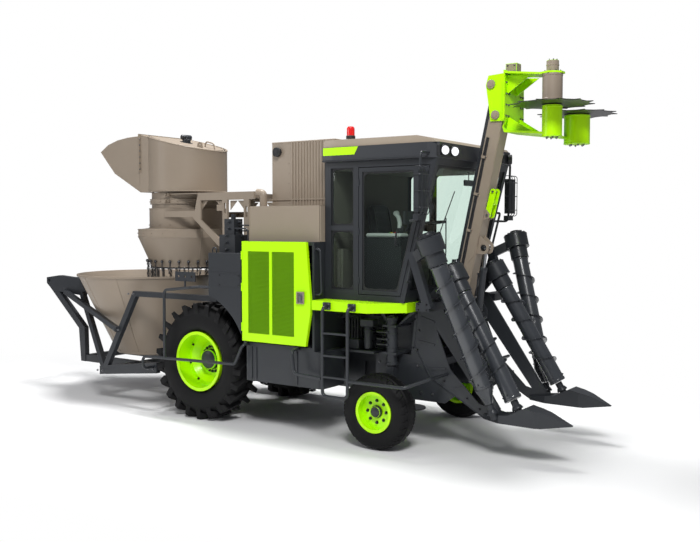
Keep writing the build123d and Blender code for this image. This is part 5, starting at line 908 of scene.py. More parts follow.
# Mirrors: moulded cases with flat silvered glass facing the seat, each behind a cage of bent rod, and
# bent grab rails up the front pillars.
silver = brushed_steel("silvered_mirror_glass", "#D4D8DC", 0.16)
cages, glasses = [], []
for hand in (1.0, -1.0):
    case = ahead(0.59, hand * 1.12, 2.83)
    glasses.append(eased_box(case + (-0.0325, -0.083, -0.2), case + (-0.0305, 0.083, 0.2), 0.0008))
    for out in (-0.075, 0.0, 0.075):
        y = case[1] + out
        cages.append(bent_rod([(case[0] - 0.02, y, 2.585), (case[0] + 0.062, y, 2.585),
            (case[0] + 0.062, y, 3.085), (case[0] - 0.02, y, 3.085)], 0.035, 0.0048, 8))
    for z in (2.66, 2.83, 3.0):
        cages.append(bent_rod([(case[0] - 0.02, case[1] - 0.105, z), (case[0] + 0.062, case[1] - 0.105, z),
            (case[0] + 0.062, case[1] + 0.105, z), (case[0] - 0.02, case[1] + 0.105, z)], 0.03, 0.0048, 8))
    cages.append(bent_rod([ahead(0.335, hand * 0.9, 1.86), ahead(0.335, hand * 0.965, 1.86),
        ahead(0.53, hand * 0.965, 2.62), ahead(0.53, hand * 0.9, 2.62)], 0.04, 0.014))
piece("mirror_cages_and_rails", joined(*cages), charcoal_paint, "chassis")
piece("mirror_glasses", joined(*glasses), silver, "chassis")

# Extractor tower: rolled and seam-welded sheet in tan enamel, its joints closed by clamp bands with
# drawn-up lugs and a ring of set screws, its collar edges rolled, its arms bolted through slots.
dress(tan_enamel, "extractor_tower", "extractor_hood", "bowl")
TOWER_STATION = -1.22
TOWER = at(TOWER_STATION, 0.0, 0.0)


def hoop(centre, radius, rod, start=0.0, end=2.0 * np.pi, steps=97, rise=None):
    """A round rod bent on a circle about +Z, from one angle to another, its height given by rise."""
    angle = np.linspace(start, end, steps)
    x, y = centre[0] + radius * np.cos(angle), centre[1] + radius * np.sin(angle)
    z = np.full_like(angle, centre[2]) if rise is None else rise(x, y)
    return round_rod(np.stack([x, y, z], 1), rod, 8, ends=end - start < 6.28)


bands = [hoop(TOWER + (0, 0, z), r, 0.007)
    for z, r in ((2.302, 0.7), (2.408, 0.7), (2.77, 0.525), (2.83, 0.525), (2.7, 0.54), (2.435, 0.54),
        (1.892, 0.519))]
for turn in np.radians((15.0, 105.0, 195.0, 285.0)):
    out = np.array((np.cos(turn), np.sin(turn), 0.0))
    for z in (2.80, 2.885):
        for step in (-0.022, 0.022):
            spot = TOWER + out * 0.548 + np.array((-out[1], out[0], 0.0)) * step + (0, 0, z)
            bands.append(laid(eased_box((-0.032, -0.006, -0.022), (0.032, 0.006, 0.022), 0.002), out,
                (0, 0, 1), spot))
for turn in np.radians((60.0, 150.0, 240.0, 330.0)):
    out = np.array((np.cos(turn), np.sin(turn), 0.0))
    bands.append(round_rod([TOWER + out * 0.5215 + (0, 0, 1.9), TOWER + out * 0.702 + (0, 0, 2.3)], 0.005,
        8))
    bands.append(round_rod([TOWER + out * 0.7015 + (0, 0, 2.3), TOWER + out * 0.7015 + (0, 0, 2.41)], 0.005,
        8))
piece("tower_bands_and_seams", joined(*bands), tan_enamel, "chassis")


def radial_bolts(centre, radius, height, count, across, start=0.0):
    """Nuts standing out from a round wall at equal angles."""
    turns = start + np.arange(count) * 2.0 * np.pi / count
    return joined(*[nut(across, centre + (radius * np.cos(t), radius * np.sin(t), height),
        (np.cos(t), np.sin(t), 0)) for t in turns])


tower_bolts = [radial_bolts(TOWER, 0.525, 2.8, 24, 0.013), radial_bolts(TOWER, 0.54, 2.47, 20, 0.013),
    radial_bolts(TOWER, 0.7, 2.355, 24, 0.012)]
for hand in (1.0, -1.0):
    face = (0, hand, 0)
    for x, z in ((-1.08, 2.62), (-0.9, 2.62), (-0.72, 2.62), (-0.3, 2.85), (0.0, 2.85), (0.2, 2.85),
            (0.375, 2.5), (0.375, 2.75), (0.375, 2.25), (0.1, 2.18), (0.3, 2.18)):
        tower_bolts.append(nut(0.02, at(x, hand * 0.525, z), face))
    for x in (-0.9, -0.6, -0.3):
        tower_bolts.append(nut(0.018, at(x, hand * 0.45, 2.89), (0, 0, -1)))
piece("tower_bolts", joined(*tower_bolts), tan_enamel, "chassis")
gussets = []
for hand in (1.0, -1.0):
    for x, z, dx, dz in ((-0.46, 2.79, 0.13, -0.13), (-0.06, 2.79, -0.12, -0.12), (0.07, 2.79, 0.12, -0.12),
            (0.31, 2.79, -0.11, -0.12), (0.07, 2.24, 0.11, 0.11)):
        corner = [(x, z), (x + dx, z), (x, z + dz)]
        gussets.append(side_plate(at, hand, 0.51, corner, 0.008))
    gussets.append(side_plate(at, hand, 0.526, [(-0.16, 2.66), (-0.02, 2.66), (-0.02, 2.74), (-0.16, 2.74)],
        0.006))
piece("tower_gussets", joined(*gussets), tan_enamel, "chassis")

# Hood: the drum's lid sits in a raised rim, the spout is folded and bolted on at a flange, with a
# rolled lip round its mouth, a hydraulic slew motor and a lifting lug on the lid.


LID_LOW, LID_HIGH, LID_FRONT, LID_RUN = 3.49, 3.745, -0.62, 1.03
FLANGE_STATION, HOOD_R, SPOUT_SIDE = -1.65, 0.565, 0.496


def lid(x, y):
    """Height of the sloping lid over a point."""
    return LID_LOW + (LID_HIGH - LID_LOW) * (rear_axle + LID_FRONT - x) / LID_RUN


def round_hole(x, z, radius, count=16):
    """Corners of a round hole in a plate."""
    return [(x + radius * np.cos(t), z + radius * np.sin(t))
        for t in np.linspace(0.0, 2.0 * np.pi, count + 1)[:-1]]


LIFT_LUG = [(-0.06, 0.0), (0.06, 0.0), (0.035, 0.075), (-0.035, 0.075)]
rim_turn = math.acos((FLANGE_STATION - TOWER_STATION) / HOOD_R) - 0.02
hood_trim = [hoop(TOWER, 0.563, 0.011, -rim_turn, rim_turn, 81, lambda x, y: lid(x, y) + 0.002),
             hoop(TOWER + (0, 0, 2.94), 0.566, 0.008, -2.4, 2.4, 81)]
plate_line = [(0.5 * np.cos(t), 0.5 * np.sin(t)) for t in np.linspace(-2.2, 2.2, 40)]
hood_trim.append(cut_plate(plate_line, [],
    lambda a, b, d: (TOWER[0] + a, b, lid(TOWER[0] + a, b) + 0.0005 + d), 0.006))
for hand in (1.0, -1.0):
    mouth = [at(-2.478, hand * SPOUT_SIDE, 3.535), at(-2.182, hand * SPOUT_SIDE, 3.218),
        at(-1.65, hand * SPOUT_SIDE, 2.94)]
    hood_trim.append(round_rod(mouth, 0.008, 8))
    crest = [at(x, hand * SPOUT_SIDE, z) for x, z in ((-1.665, 3.72), (-1.9, 3.712), (-2.12, 3.684),
        (-2.32, 3.628), (-2.478, 3.535))]
    hood_trim.append(round_rod(crest, 0.007, 8))
    hood_trim.append(side_plate(at, hand, 0.5002, [(-1.66, 3.02), (-1.66, 3.2), (-2.05, 3.16)], 0.004))
hood_trim.append(round_rod([at(-2.478, -0.5, 3.535), at(-2.478, 0.5, 3.535)], 0.008, 8))
hood_trim.append(round_rod([at(-2.182, -0.5, 3.216), at(-2.182, 0.5, 3.216)], 0.008, 8))
lug = cut_plate(LIFT_LUG, [round_hole(0.0, 0.045, 0.014)],
                lambda a, b, d: (TOWER[0] + 0.36 + a, -0.12 + d, lid(TOWER[0] + 0.36, 0) + b), 0.012)
loop = bent_path([at(-0.78, 0.1, 3.52), at(-0.80, 0.1, 3.62), at(-0.95, 0.1, 3.66), at(-0.97, 0.1, 3.58)],
    0.04)
hood_trim += [lug, round_rod(loop, 0.01)]
piece("hood_rim_and_lid", joined(*hood_trim), tan_enamel, "extractor_hood")
hood_bolts = [nut(0.014, (TOWER[0] + 0.53 * np.cos(t), 0.53 * np.sin(t),
    lid(TOWER[0] + 0.53 * np.cos(t), 0)), (0.24, 0, 0.97)) for t in np.linspace(-2.2, 2.2, 23)]
for hand in (1.0, -1.0):
    hood_bolts += [nut(0.014, at(-1.643, hand * 0.516, z), (1, 0, 0)) for z in np.arange(3.26, 3.7, 0.085)]
hood_bolts += [nut(0.014, at(-1.643, y, 3.737), (1, 0, 0)) for y in np.arange(-0.45, 0.5, 0.1)]
piece("hood_bolts", joined(*hood_bolts), plated_steel, "extractor_hood")
crown = np.array((TOWER[0] - 0.02, 0.0, lid(TOWER[0], 0.0)))
motor = [turned([(0.0, 0.09), (0.016, 0.09), (0.018, 0.06), (0.06, 0.056), (0.066, 0.05), (0.075, 0.02)],
    24, crown, (0.24, 0, 0.97)), eased_box(crown + (-0.05, -0.045, 0.05), crown + (0.06, 0.045, 0.1),
    0.008), turned([(-0.08, 0.03), (-0.07, 0.036), (0.07, 0.036), (0.08, 0.03)], 18,
    crown + (0.0, 0.0, 0.085), (0.2, 1, 0))]
piece("hood_slew_motor", joined(*motor), charcoal_paint, "extractor_hood")

# Chain curtain: strands of short-link chain, quenched and left dark, hung on round studs from a ring
# under the cone and on studs round its edge. Every second link is turned a quarter; the strands over
# the bowl are the long ones.


def chain_link(length, inside, wire):
    """One oval link about the origin, standing on Z: two half circles joined by straights."""
    bend = np.linspace(0.0, np.pi, 7)
    rise = length / 2.0 - wire - inside
    top = np.stack([np.zeros(7), inside * np.cos(bend), rise + inside * np.sin(bend)], 1)
    path = np.concatenate([top, top * (1, -1, -1)])
    path = np.concatenate([path, path[:1]])
    return round_rod(path, wire, 7, ends=False)


chain_top = np.array(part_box("chain_curtain"))[1][2]
oval = chain_link(0.044, 0.0085, 0.0042)
STRANDS, LINK_PITCH, BOWL_STATION = 28, 0.034, -2.0


def hung_chain(turn, count, drop, top, shift=0.0):
    """Links hung below a point, each second one turned a quarter: link n lies n + drop pitches down."""
    x, y, z = oval[0].T
    links = []
    for link in range(count):
        spin = turn + (link % 2) * np.pi / 2.0
        c, s = np.cos(spin), np.sin(spin)
        hung = np.stack([x * c - y * s, x * s + y * c, z - (link + drop) * LINK_PITCH], 1)
        links.append((hung + top + shift, oval[1]))
    return links


def over_bowl(point):
    """Whether a point stands over the bowl's open top."""
    return np.hypot(point[0] - at(BOWL_STATION, 0, 0)[0], point[1]) < 0.99


CURTAIN_STUD = [(-0.028, 0.008), (0.006, 0.008), (0.008, 0.015), (0.014, 0.016), (0.02, 0.012),
    (0.023, 0.004)]
RIM_STUD = [(-0.02, 0.008), (0.014, 0.008), (0.016, 0.017), (0.024, 0.0215), (0.034, 0.0215),
    (0.043, 0.015), (0.047, 0.005)]
strands, studs = [], []
for strand in range(STRANDS):
    turn = strand * 2.0 * np.pi / STRANDS
    out = np.array((np.cos(turn), np.sin(turn), 0.0))
    top = TOWER + (0.5 * np.cos(turn), 0.5 * np.sin(turn), chain_top - 0.03)
    strands += hung_chain(turn, 5 if over_bowl(top) else 2, 0.5, top)
    studs.append(turned(CURTAIN_STUD, 12, top + out * 0.004 + (0, 0, 0.012), out))
# Quenched steel keeps a dark skin, so each link shows one short bright line.
chain_steel = brushed_steel("quenched_chain_steel", "#5A5B5E", 0.34)
rim_strands = []
for strand in range(STRANDS):
    turn = (strand + 0.5) * 2.0 * np.pi / STRANDS
    out = np.array((np.cos(turn), np.sin(turn), 0.0))
    root = TOWER + out * 0.552 + (0, 0, 1.965)
    rim_strands += hung_chain(turn, 8 if over_bowl(root) else 4, 0.3, root, out * 0.022)
    rim_strands.append(turned(RIM_STUD, 14, root, out))
rim_chains = piece("cone_rim_chains", joined(*rim_strands), chain_steel, "chassis", 60.0)
hanger = hoop(TOWER + (0, 0, chain_top - 0.016), 0.5, 0.0105)
chains = piece("curtain_chains", joined(hanger, *strands, *studs), chain_steel, "chassis", 60.0)
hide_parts("chain_curtain")

# Bowl: rolled from sheets in tan enamel and butt-welded at five seams, with a wired rim and a bolted
# foot ring.
bowl_low, bowl_high = np.array(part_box("bowl"))
bowl_top, bowl_foot = at(BOWL_STATION, 0, bowl_high[2]), at(-1.85, 0, bowl_low[2])
bowl_trim = [hoop(bowl_top - (0, 0, 0.008), 1.049, 0.011, steps=161),
    hoop(bowl_foot + (0, 0, 0.02), 0.606, 0.009)]
for turn in np.radians((20.0, 110.0, 200.0, 255.0, 290.0)):
    out = np.array((np.cos(turn), np.sin(turn), 0.0))
    bowl_trim.append(round_rod([bowl_top + out * 1.05, bowl_foot + out * 0.602], 0.0055, 8))
piece("bowl_rim_and_seams", joined(*bowl_trim), tan_enamel, "chassis")
piece("bowl_foot_bolts", radial_bolts(bowl_foot, 0.612, 0.05, 18, 0.016), tan_enamel, "chassis")

# Tail frame and valve stack fittings: plated bolts at the strut joints, a three-hole lamp plate on a
# stem at each side, and the stack's ports, caps and pipes. Cut plate and tube, powder coated charcoal.
fittings, frame_bolts = [], []
for hand in (1.0, -1.0):
    for x, z in ((-1.23, 1.545), (-1.88, 0.45), (-1.545, 1.04), (-0.87, 0.56)):
        y = hand * (0.5 * (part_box("rear_frame")[1][1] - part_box("rear_frame")[0][1]) + 0.0005)
        for dx, dz in ((-0.05, 0.0), (0.05, 0.0)):
            frame_bolts.append(nut(0.02, at(x + dx, y, z + dz), (0, hand, 0)))
    fittings.append(side_plate(at, hand, 1.19, [(-0.26, 1.765), (0.09, 1.765), (0.09, 1.885),
        (-0.26, 1.885)], 0.01, [round_hole(x, 1.825, 0.016, 12) for x in (-0.2, -0.085, 0.03)]))
    fittings.append(round_rod([at(-0.085, hand * 1.2, 1.7), at(-0.085, hand * 1.2, 1.775)], 0.012, 10))
piece("lamp_plates", joined(*fittings), charcoal_paint, "chassis")
piece("tail_frame_bolts", joined(*frame_bolts), plated_steel, "chassis")
valve = []
foot = at(0.42, -0.85, 2.13)
for level, (w, d) in enumerate(((0.14, 0.13), (0.14, 0.13), (0.14, 0.13), (0.1, 0.1), (0.1, 0.1))):
    z = 0.02 + level * 0.085
    for side_x, side_y in ((1, 0), (-1, 0), (0, -1), (0, 1)):
        spot = foot + (side_x * (w if level < 3 else 0.08), side_y * (d - 0.01 if level < 3 else 0.08),
            z + 0.02)
        valve.append(turned([(0.0, 0.02), (0.014, 0.02), (0.016, 0.013), (0.04, 0.013), (0.043, 0.009)], 6,
            spot, (side_x, side_y, 0)))
for dx in (-0.09, 0.0, 0.09):
    valve.append(turned([(0.0, 0.024), (0.03, 0.024), (0.034, 0.014), (0.07, 0.014), (0.074, 0.008)], 8,
        foot + (dx, -0.03, 0.22), (0, 0, 1)))
for dy, z in ((-0.07, 0.30), (0.0, 0.34), (0.06, 0.27)):
    valve.append(bent_rod([foot + (0.05, dy, z), foot + (0.3, dy, z), foot + (0.3, dy, 0.0)], 0.05, 0.009,
        10))
piece("valve_stack_ports", joined(*valve), charcoal_paint, "chassis")

# Rims: pressed and welded discs in the machine's lime enamel.
dress(lime_enamel, "rear_rim_left", "rear_rim_right", "front_rim_left", "front_rim_right")

# Frame webs under the platform: 8 mm plate, flame-cut with slots and bolt holes, welded on the rails;
# before them the throat's outer sheets with their pressed ribs.


def slot_hole(x, z, half, radius, lean=0.0):
    """Corners of a slot with round ends, leaning at an angle."""
    turn = np.linspace(-np.pi / 2.0, np.pi / 2.0, 8)
    a = np.concatenate([half + radius * np.cos(turn), -half - radius * np.cos(turn)])
    b = np.concatenate([radius * np.sin(turn), -radius * np.sin(turn)])
    return list(zip(x + a * np.cos(lean) - b * np.sin(lean), z + a * np.sin(lean) + b * np.cos(lean)))


WEB_FACE, THROAT_FACE = 0.452, 0.6115
WEB = [(2.0, 1.0), (2.95, 1.0), (2.95, 1.2), (2.8, 1.505), (2.0, 1.505)]
WEB_HOLES = [[(2.36, 1.06), (2.54, 1.06), (2.4, 1.3)], [(2.6, 1.4), (2.68, 1.44), (2.5, 1.44)],
    slot_hole(2.14, 1.42, 0.05, 0.014), slot_hole(2.32, 1.42, 0.04, 0.014),
    slot_hole(2.13, 1.12, 0.06, 0.02, 0.9), round_hole(2.24, 1.31, 0.03), round_hole(2.26, 1.19, 0.02),
    round_hole(2.84, 1.14, 0.03)]
THROAT = [(2.4, 0.52), (2.4, 1.015), (2.87, 1.015), (2.92, 1.5), (2.97, 1.52), (2.93, 1.13), (3.13, 0.79),
    (3.42, 0.61), (3.3, 0.52)]
THROAT_HOLES = [round_hole(2.92, 1.42, 0.012), round_hole(2.9, 1.1, 0.012),
    slot_hole(2.6, 0.94, 0.05, 0.014)]
webs, web_bolts, pipes, glands = [], [], [], []
for hand in (1.0, -1.0):
    webs.append(side_plate(at, hand, WEB_FACE, WEB, 0.008, WEB_HOLES))
    for lean in ((2.5, 1.505, 2.62, 1.36), (2.92, 1.505, 2.76, 1.36)):
        webs.append(cut_plate([(lean[0], lean[1]), (lean[0] + 0.05, lean[1]), (lean[2] + 0.03, lean[3]),
            (lean[2], lean[3])], [], lambda a, b, d, hand=hand: at(a, hand * (0.46 + d * 26.0), b), 0.01))
    web_bolts += [nut(0.018, at(x, hand * 0.46, z), (0, hand, 0))
        for x, z in ((2.05, 1.47), (2.2, 1.47), (2.45, 1.47), (2.75, 1.4), (2.05, 1.05), (2.3, 1.04),
            (2.85, 1.05), (2.9, 1.2))]
    king = at(2.68, hand * 0.72, 0.0)
    for z, r, tall in ((0.902, 0.071, 0.03), (1.09, 0.068, 0.018), (1.24, 0.068, 0.018),
            (1.405, 0.074, 0.034)):
        glands.append(turned([(0.0, r - 0.012), (0.0, r - 0.003), (0.003, r), (tall - 0.003, r),
            (tall, r - 0.003), (tall, r - 0.012)], 28, king + (0, 0, z), (0, 0, 1)))
    glands.append(bolt_circle(king + (0, 0, 1.439), (0, 0, 1), 0.0525, 8, 0.012))
    for z in (1.13, 1.19, 1.27):
        pipes.append(bent_rod([king + (-0.02, -hand * 0.03, z), king + (-0.02, hand * 0.075, z),
            king + (-0.17, hand * 0.075, z), king + (-0.17, -hand * 0.25, z)], 0.03, 0.0085, 10))
        glands.append(turned([(0.0, 0.014), (0.02, 0.014), (0.022, 0.01)], 6,
            king + (-0.02, hand * 0.058, z), (0, hand, 0)))
    for step, z in enumerate((1.16, 1.2, 1.24, 1.28)):
        out = hand * (0.49 + 0.022 * step)
        pipes.append(bent_rod([at(1.88, out, z + 0.1), at(2.1, out, z + 0.1), at(2.22, out, z),
            at(2.48, out, z), at(2.5, hand * 0.455, z)], 0.04, 0.008, 10))
    for x in (1.98, 2.3):
        webs.append(eased_box(at(x - 0.014, hand * 0.53 - 0.06, 1.12 if x > 2.2 else 1.22),
            at(x + 0.014, hand * 0.53 + 0.055, 1.3 if x > 2.2 else 1.4), 0.004))
    glands.append(turned([(-0.01, 0.02), (0.0, 0.045), (0.05, 0.052), (0.19, 0.052), (0.194, 0.058),
        (0.215, 0.058), (0.22, 0.05), (0.25, 0.046), (0.255, 0.03)], 28, at(2.32, hand * 0.66, 1.05),
        (0, 0, 1)))
    glands.append(eased_box(at(2.24, hand * 0.66 - 0.06, 1.305), at(2.42, hand * 0.66 + 0.06, 1.39), 0.008))
    glands.append(eased_box(at(2.02, hand * 0.62 - 0.07, 1.03), at(2.2, hand * 0.62 + 0.07, 1.15), 0.008))
    for dx in (-0.06, -0.02, 0.02, 0.06):
        for dy in (-0.035, 0.035):
            glands.append(turned([(0.0, 0.015), (0.014, 0.015), (0.016, 0.01), (0.035, 0.01)], 6,
                at(2.11 + dx, hand * 0.62 + dy, 1.15), (0, 0, 1)))
            pipes.append(bent_rod([at(2.11 + dx, hand * 0.62 + dy, 1.17),
                at(2.11 + dx, hand * 0.62 + dy, 1.44 - abs(dy)),
                at(1.9, hand * 0.62 + dy, 1.44 - abs(dy) + dx * 0.5)], 0.03, 0.007, 8))
    webs.append(eased_box(at(2.0, hand * 0.61 - 0.13, 1.0), at(2.45, hand * 0.61 + 0.13, 1.03), 0.004))
    webs.append(side_plate(at, hand, THROAT_FACE, THROAT, 0.008, THROAT_HOLES))
    webs.append(round_rod([at(a, hand * 0.6155, b) for a, b in ((2.4, 0.52), (3.3, 0.52), (3.42, 0.61))],
        0.009, 8))
    for x, z in ((2.45, 0.6), (2.45, 0.9), (2.8, 0.6), (3.0, 0.6), (3.15, 0.6), (2.96, 0.9)):
        web_bolts.append(nut(0.02, at(x, hand * 0.6195, z), (0, hand, 0)))
piece("frame_webs", joined(*webs), charcoal_paint, "chassis")
piece("frame_web_bolts", joined(*web_bolts), plated_steel, "chassis")
piece("frame_pipes", joined(*pipes), black_plastic, "chassis")
piece("kingpin_glands_and_valves", joined(*glands), charcoal_paint, "chassis")

# Engine: cast iron in black heat paint, with its rocker covers, pulleys, manifold and side covers;
# all bolted castings.
heat_black = sprayed_paint("black_heat_paint", "#232426", "#1D1E20", 0.5, 0.0, 2.6)
dress(heat_black, "engine_block")
block_low, block_high = np.array(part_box("engine_block"))
castings, studs = [], []
CYLINDERS, CYLINDER_PITCH = 6, 0.142
for cylinder in range(CYLINDERS):
    x = block_low[0] + 0.09 + cylinder * CYLINDER_PITCH
    castings.append(eased_box((x - 0.055, -0.12, block_high[2] - 0.002),
        (x + 0.055, 0.12, block_high[2] + 0.06), 0.015))
    studs.append(nut(0.016, (x, 0.0, block_high[2] + 0.06), (0, 0, 1)))
    for hand in (1.0, -1.0):
        castings.append(eased_box((x - 0.052, hand * 0.385 - 0.012, block_low[2] + 0.28),
            (x + 0.052, hand * 0.385 + 0.012, block_low[2] + 0.5), 0.008))
        castings.append(bent_rod([(x, hand * 0.37, block_high[2] - 0.16),
            (x, hand * 0.45, block_high[2] - 0.16), (x + 0.02, hand * 0.45, block_high[2] - 0.08)], 0.03,
            0.026, 14))
        studs += [nut(0.014, (x + dx, hand * 0.397, block_low[2] + 0.28 + dz), (0, hand, 0))
            for dx in (-0.036, 0.036) for dz in (0.02, 0.2)]
for hand in (1.0, -1.0):
    castings.append(round_rod([(block_low[0] + 0.04, hand * 0.45, block_high[2] - 0.08),
        (block_high[0] - 0.04, hand * 0.45, block_high[2] - 0.08)], 0.036, 18))
    castings.append(turned([(0.0, 0.05), (0.01, 0.062), (0.1, 0.062), (0.104, 0.056), (0.18, 0.056),
        (0.19, 0.03)], 24, (block_low[0] + 0.2, hand * 0.44, block_low[2] + 0.08), (0, 0, 1)))
piece("engine_castings", joined(*castings), heat_black, "chassis")
piece("engine_studs", joined(*studs), plated_steel, "chassis")

# Duct and body seams: flanged joints with rows of bolts, and the fold lines of the tank block's side
# panels. Rolled thread M10 bolts, phosphated.
seam_bolts, strips = [], []
duct_face = np.array(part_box("feed_duct"))[1][1]
for hand in (1.0, -1.0):
    for station in np.arange(-0.7, 2.7, 0.17):
        seam_bolts.append(nut(0.016, at(station, hand * duct_face, 0.56), (0, hand, 0)))
    for station in (-0.4, 0.1, 0.6, 1.1, 1.6, 2.1):
        strips.append(eased_box(at(station - 0.012, hand * (duct_face + 0.008) - 0.01, 0.505),
            at(station + 0.012, hand * (duct_face + 0.008) + 0.01, 0.85), 0.003))
    strips.append(side_plate(at, hand, 1.1505, [(0.44, 1.72), (0.79, 1.72), (0.79, 1.88), (0.44, 1.88)],
        0.003))
    strips.append(round_rod([at(0.3, hand * 1.1502, 1.9), at(0.79, hand * 1.1502, 1.9)], 0.002, 6))
    seam_bolts += [nut(0.012, at(x, hand * 1.1535, z), (0, hand, 0)) for x in (0.46, 0.77)
        for z in (1.74, 1.86)]
piece("duct_and_tank_strips", joined(*strips), charcoal_paint, "chassis")
piece("duct_and_tank_bolts", joined(*seam_bolts), dark_steel, "chassis")

# Topper boom: a square hollow section in tan enamel with reinforcing cheeks welded on at both pins,
# pressed pipe clamps and the two steel pipes of its motors, and a lime parking strut pinned in front.
dress(tan_enamel, "topper_boom")
dress(charcoal_paint, "topper_link")


BOOM_FOOT, LINK_FOOT, LIFT_FOOT = (0.54, 1.7), (0.485, 2.04), (0.72, 1.45)
BOOM_WAY = np.array((428.0, 1990.0)) / np.hypot(428.0, 1990.0)


def up_boom(up, out, side):
    """A point by its distance up the boom, its distance before the boom's centre line and its side."""
    run, rise = BOOM_WAY
    return ahead(BOOM_FOOT[0] + run * up + rise * out, side, BOOM_FOOT[1] + rise * up - run * out)


def boom_plate(hand, out, outline, thick, holes=()):
    """A plate standing along the boom, its outline given up the boom and out in front of it."""
    return cut_plate(outline, holes, lambda a, b, d: up_boom(a, b, hand * (out + d)), thick)


boom_pipes, boom_trim, boom_pins = [], [], []
for hand in (1.0, -1.0):
    for out in (-0.035, -0.055):
        boom_pipes.append(round_rod([up_boom(0.24, out, hand * 0.1095), up_boom(1.78, out, hand * 0.1095)],
            0.0085, 10))
    for up in (0.3, 0.72, 1.14, 1.56):
        clamp = boom_plate(hand, 0.1, [(up - 0.015, -0.075), (up + 0.015, -0.075), (up + 0.015, -0.015),
            (up - 0.015, -0.015)], 0.021)
        boom_trim.append(clamp)
        boom_pins.append(nut(0.012, up_boom(up, -0.02, hand * 0.121), (0, hand, 0)))
    cheek = [(0.36, 0.02), (0.46, 0.078), (0.74, 0.078), (0.82, 0.02)]
    boom_trim.append(boom_plate(hand, 0.1, cheek, 0.006))
    boom_trim.append(round_rod([up_boom(0.1, 0.0825, hand * 0.088), up_boom(1.86, 0.0825, hand * 0.088)],
        0.004, 6))
    strut = []
    for end in (0.0, 1.0):
        turn = np.linspace(np.pi / 2.0, 3.0 * np.pi / 2.0, 10) + end * np.pi
        strut += [(0.93 + end * 0.27 + 0.034 * np.cos(t), 0.118 + end * 0.006 + 0.034 * np.sin(t))
            for t in turn]
    boom_trim.append(boom_plate(hand, 0.062, [(0.86, 0.08), (1.0, 0.08), (0.95, 0.145), (0.9, 0.145)],
        0.01))
    lever = boom_plate(hand, 0.045, strut, 0.014, [round_hole(0.93, 0.118, 0.013),
        round_hole(1.2, 0.124, 0.013)])
    piece(f"parking_strut_{'left' if hand > 0 else 'right'}", lever, lime_enamel, "topper_boom")
boom_pins += [round_rod([up_boom(0.93, 0.118, -0.09), up_boom(0.93, 0.118, 0.09)], 0.0125, 14),
    round_rod([up_boom(1.2, 0.124, -0.075), up_boom(1.2, 0.124, 0.075)], 0.0125, 14)]
spacer = eased_box((-0.03, -0.045, -0.03), (0.03, 0.045, 0.03), 0.006)
piece("parking_strut_spacer", laid(spacer, up_boom(1.0, 0.0, 0) - up_boom(0.0, 0.0, 0), (1, 0, 0),
    up_boom(1.08, 0.121, 0)), lime_enamel, "topper_boom")
piece("boom_cheeks_and_clamps", joined(*boom_trim), tan_enamel, "topper_boom")
piece("boom_pipes", joined(*boom_pipes), black_plastic, "topper_boom")
piece("boom_pins_and_screws", joined(*boom_pins), plated_steel, "topper_boom")

# Topper head: lime cheeks, flange and shelves welded up from plate; the motors and the valve box in
# tan enamel are bolted on.
dress(lime_enamel, "topper_head")
ROTOR = ahead(1.72, -0.365, 0.0)
TWIN = ahead(1.72, 0.365, 0.0)
motor = [turned([(0.0, 0.095), (0.0, 0.1035), (0.008, 0.1065), (0.02, 0.1065), (0.024, 0.1035),
    (0.25, 0.1035), (0.254, 0.1065), (0.272, 0.1065), (0.275, 0.1035), (0.275, 0.095)], 40,
    ROTOR + (0, 0, 3.76), (0, 0, 1)), turned([(0.0, 0.055), (0.0, 0.068), (0.014, 0.068), (0.016, 0.0635),
    (0.07, 0.0635), (0.072, 0.067), (0.082, 0.067), (0.084, 0.0635), (0.12, 0.0635), (0.1255, 0.058),
    (0.127, 0.02)], 32, ROTOR + (0, 0, 4.046), (0, 0, 1))]
box_mid = ahead(1.12, 0.0, 4.19)
motor.append(eased_box(box_mid - (0.0665, 0.0615, 0.055), box_mid + (0.0665, 0.0615, 0.0598), 0.006))
for hand in (1.0, -1.0):
    for nose, z in ((0.968, 3.69), (0.913, 4.03)):
        motor.append(turned([(0.0, 0.047), (0.006, 0.05), (0.02, 0.05), (0.026, 0.046), (0.028, 0.03),
            (0.034, 0.028), (0.036, 0.01)], 24, ahead(nose, hand * 0.119, z), (0, hand, 0)))
piece("topper_motors_and_bosses", joined(*motor), tan_enamel, "topper_head")
head_steel = [bolt_circle(ROTOR + (0, 0, 4.055), (0, 0, 1), 0.084, 8, 0.014),
    bolt_circle(ROTOR + (0, 0, 4.173), (0, 0, 1), 0.045, 6, 0.012)]
for index, (spot, radius, low) in enumerate(((ROTOR, 0.103, 3.39), (TWIN, 0.14, 3.365))):
    head_steel.append(bolt_circle(spot + (0, 0, low), (0, 0, -1), radius * 0.55, 6, 0.02))
for dy in (-0.22, -0.16, 0.16, 0.22):
    for z in (3.66, 3.78, 3.9, 4.02, 4.11):
        head_steel.append(nut(0.017, ahead(1.136, dy, z), (1, 0, 0)))
for dx, dz in ((-0.04, -0.03), (0.04, -0.03), (-0.04, 0.035), (0.04, 0.035)):
    head_steel.append(nut(0.014, box_mid + (dx, -0.0615, dz), (0, -1, 0)))
    head_steel.append(nut(0.014, box_mid + (dx, 0.0615, dz), (0, 1, 0)))
piece("topper_head_bolts", joined(*head_steel), plated_steel, "topper_head")
ribs = []
for y in (-0.19, 0.05):
    ribs.append(cut_plate([(1.136, 4.1), (1.4, 4.075), (1.136, 3.9)], [], lambda a, b, d,
        y=y: ahead(a, y + d, b), 0.01))
for y in (-0.15, 0.15):
    ribs.append(cut_plate([(1.13, 3.66), (1.115, 3.515), (1.42, 3.475)], [], lambda a, b, d,
        y=y: ahead(a, y + d, b), 0.01))
for spot, radius, low, high in ((ROTOR, 0.103, 3.39, 3.706), (TWIN, 0.14, 3.365, 3.68)):
    for z in (low + 0.008, high - 0.012):
        ribs.append(hoop(spot + (0, 0, z), radius, 0.004, steps=49))
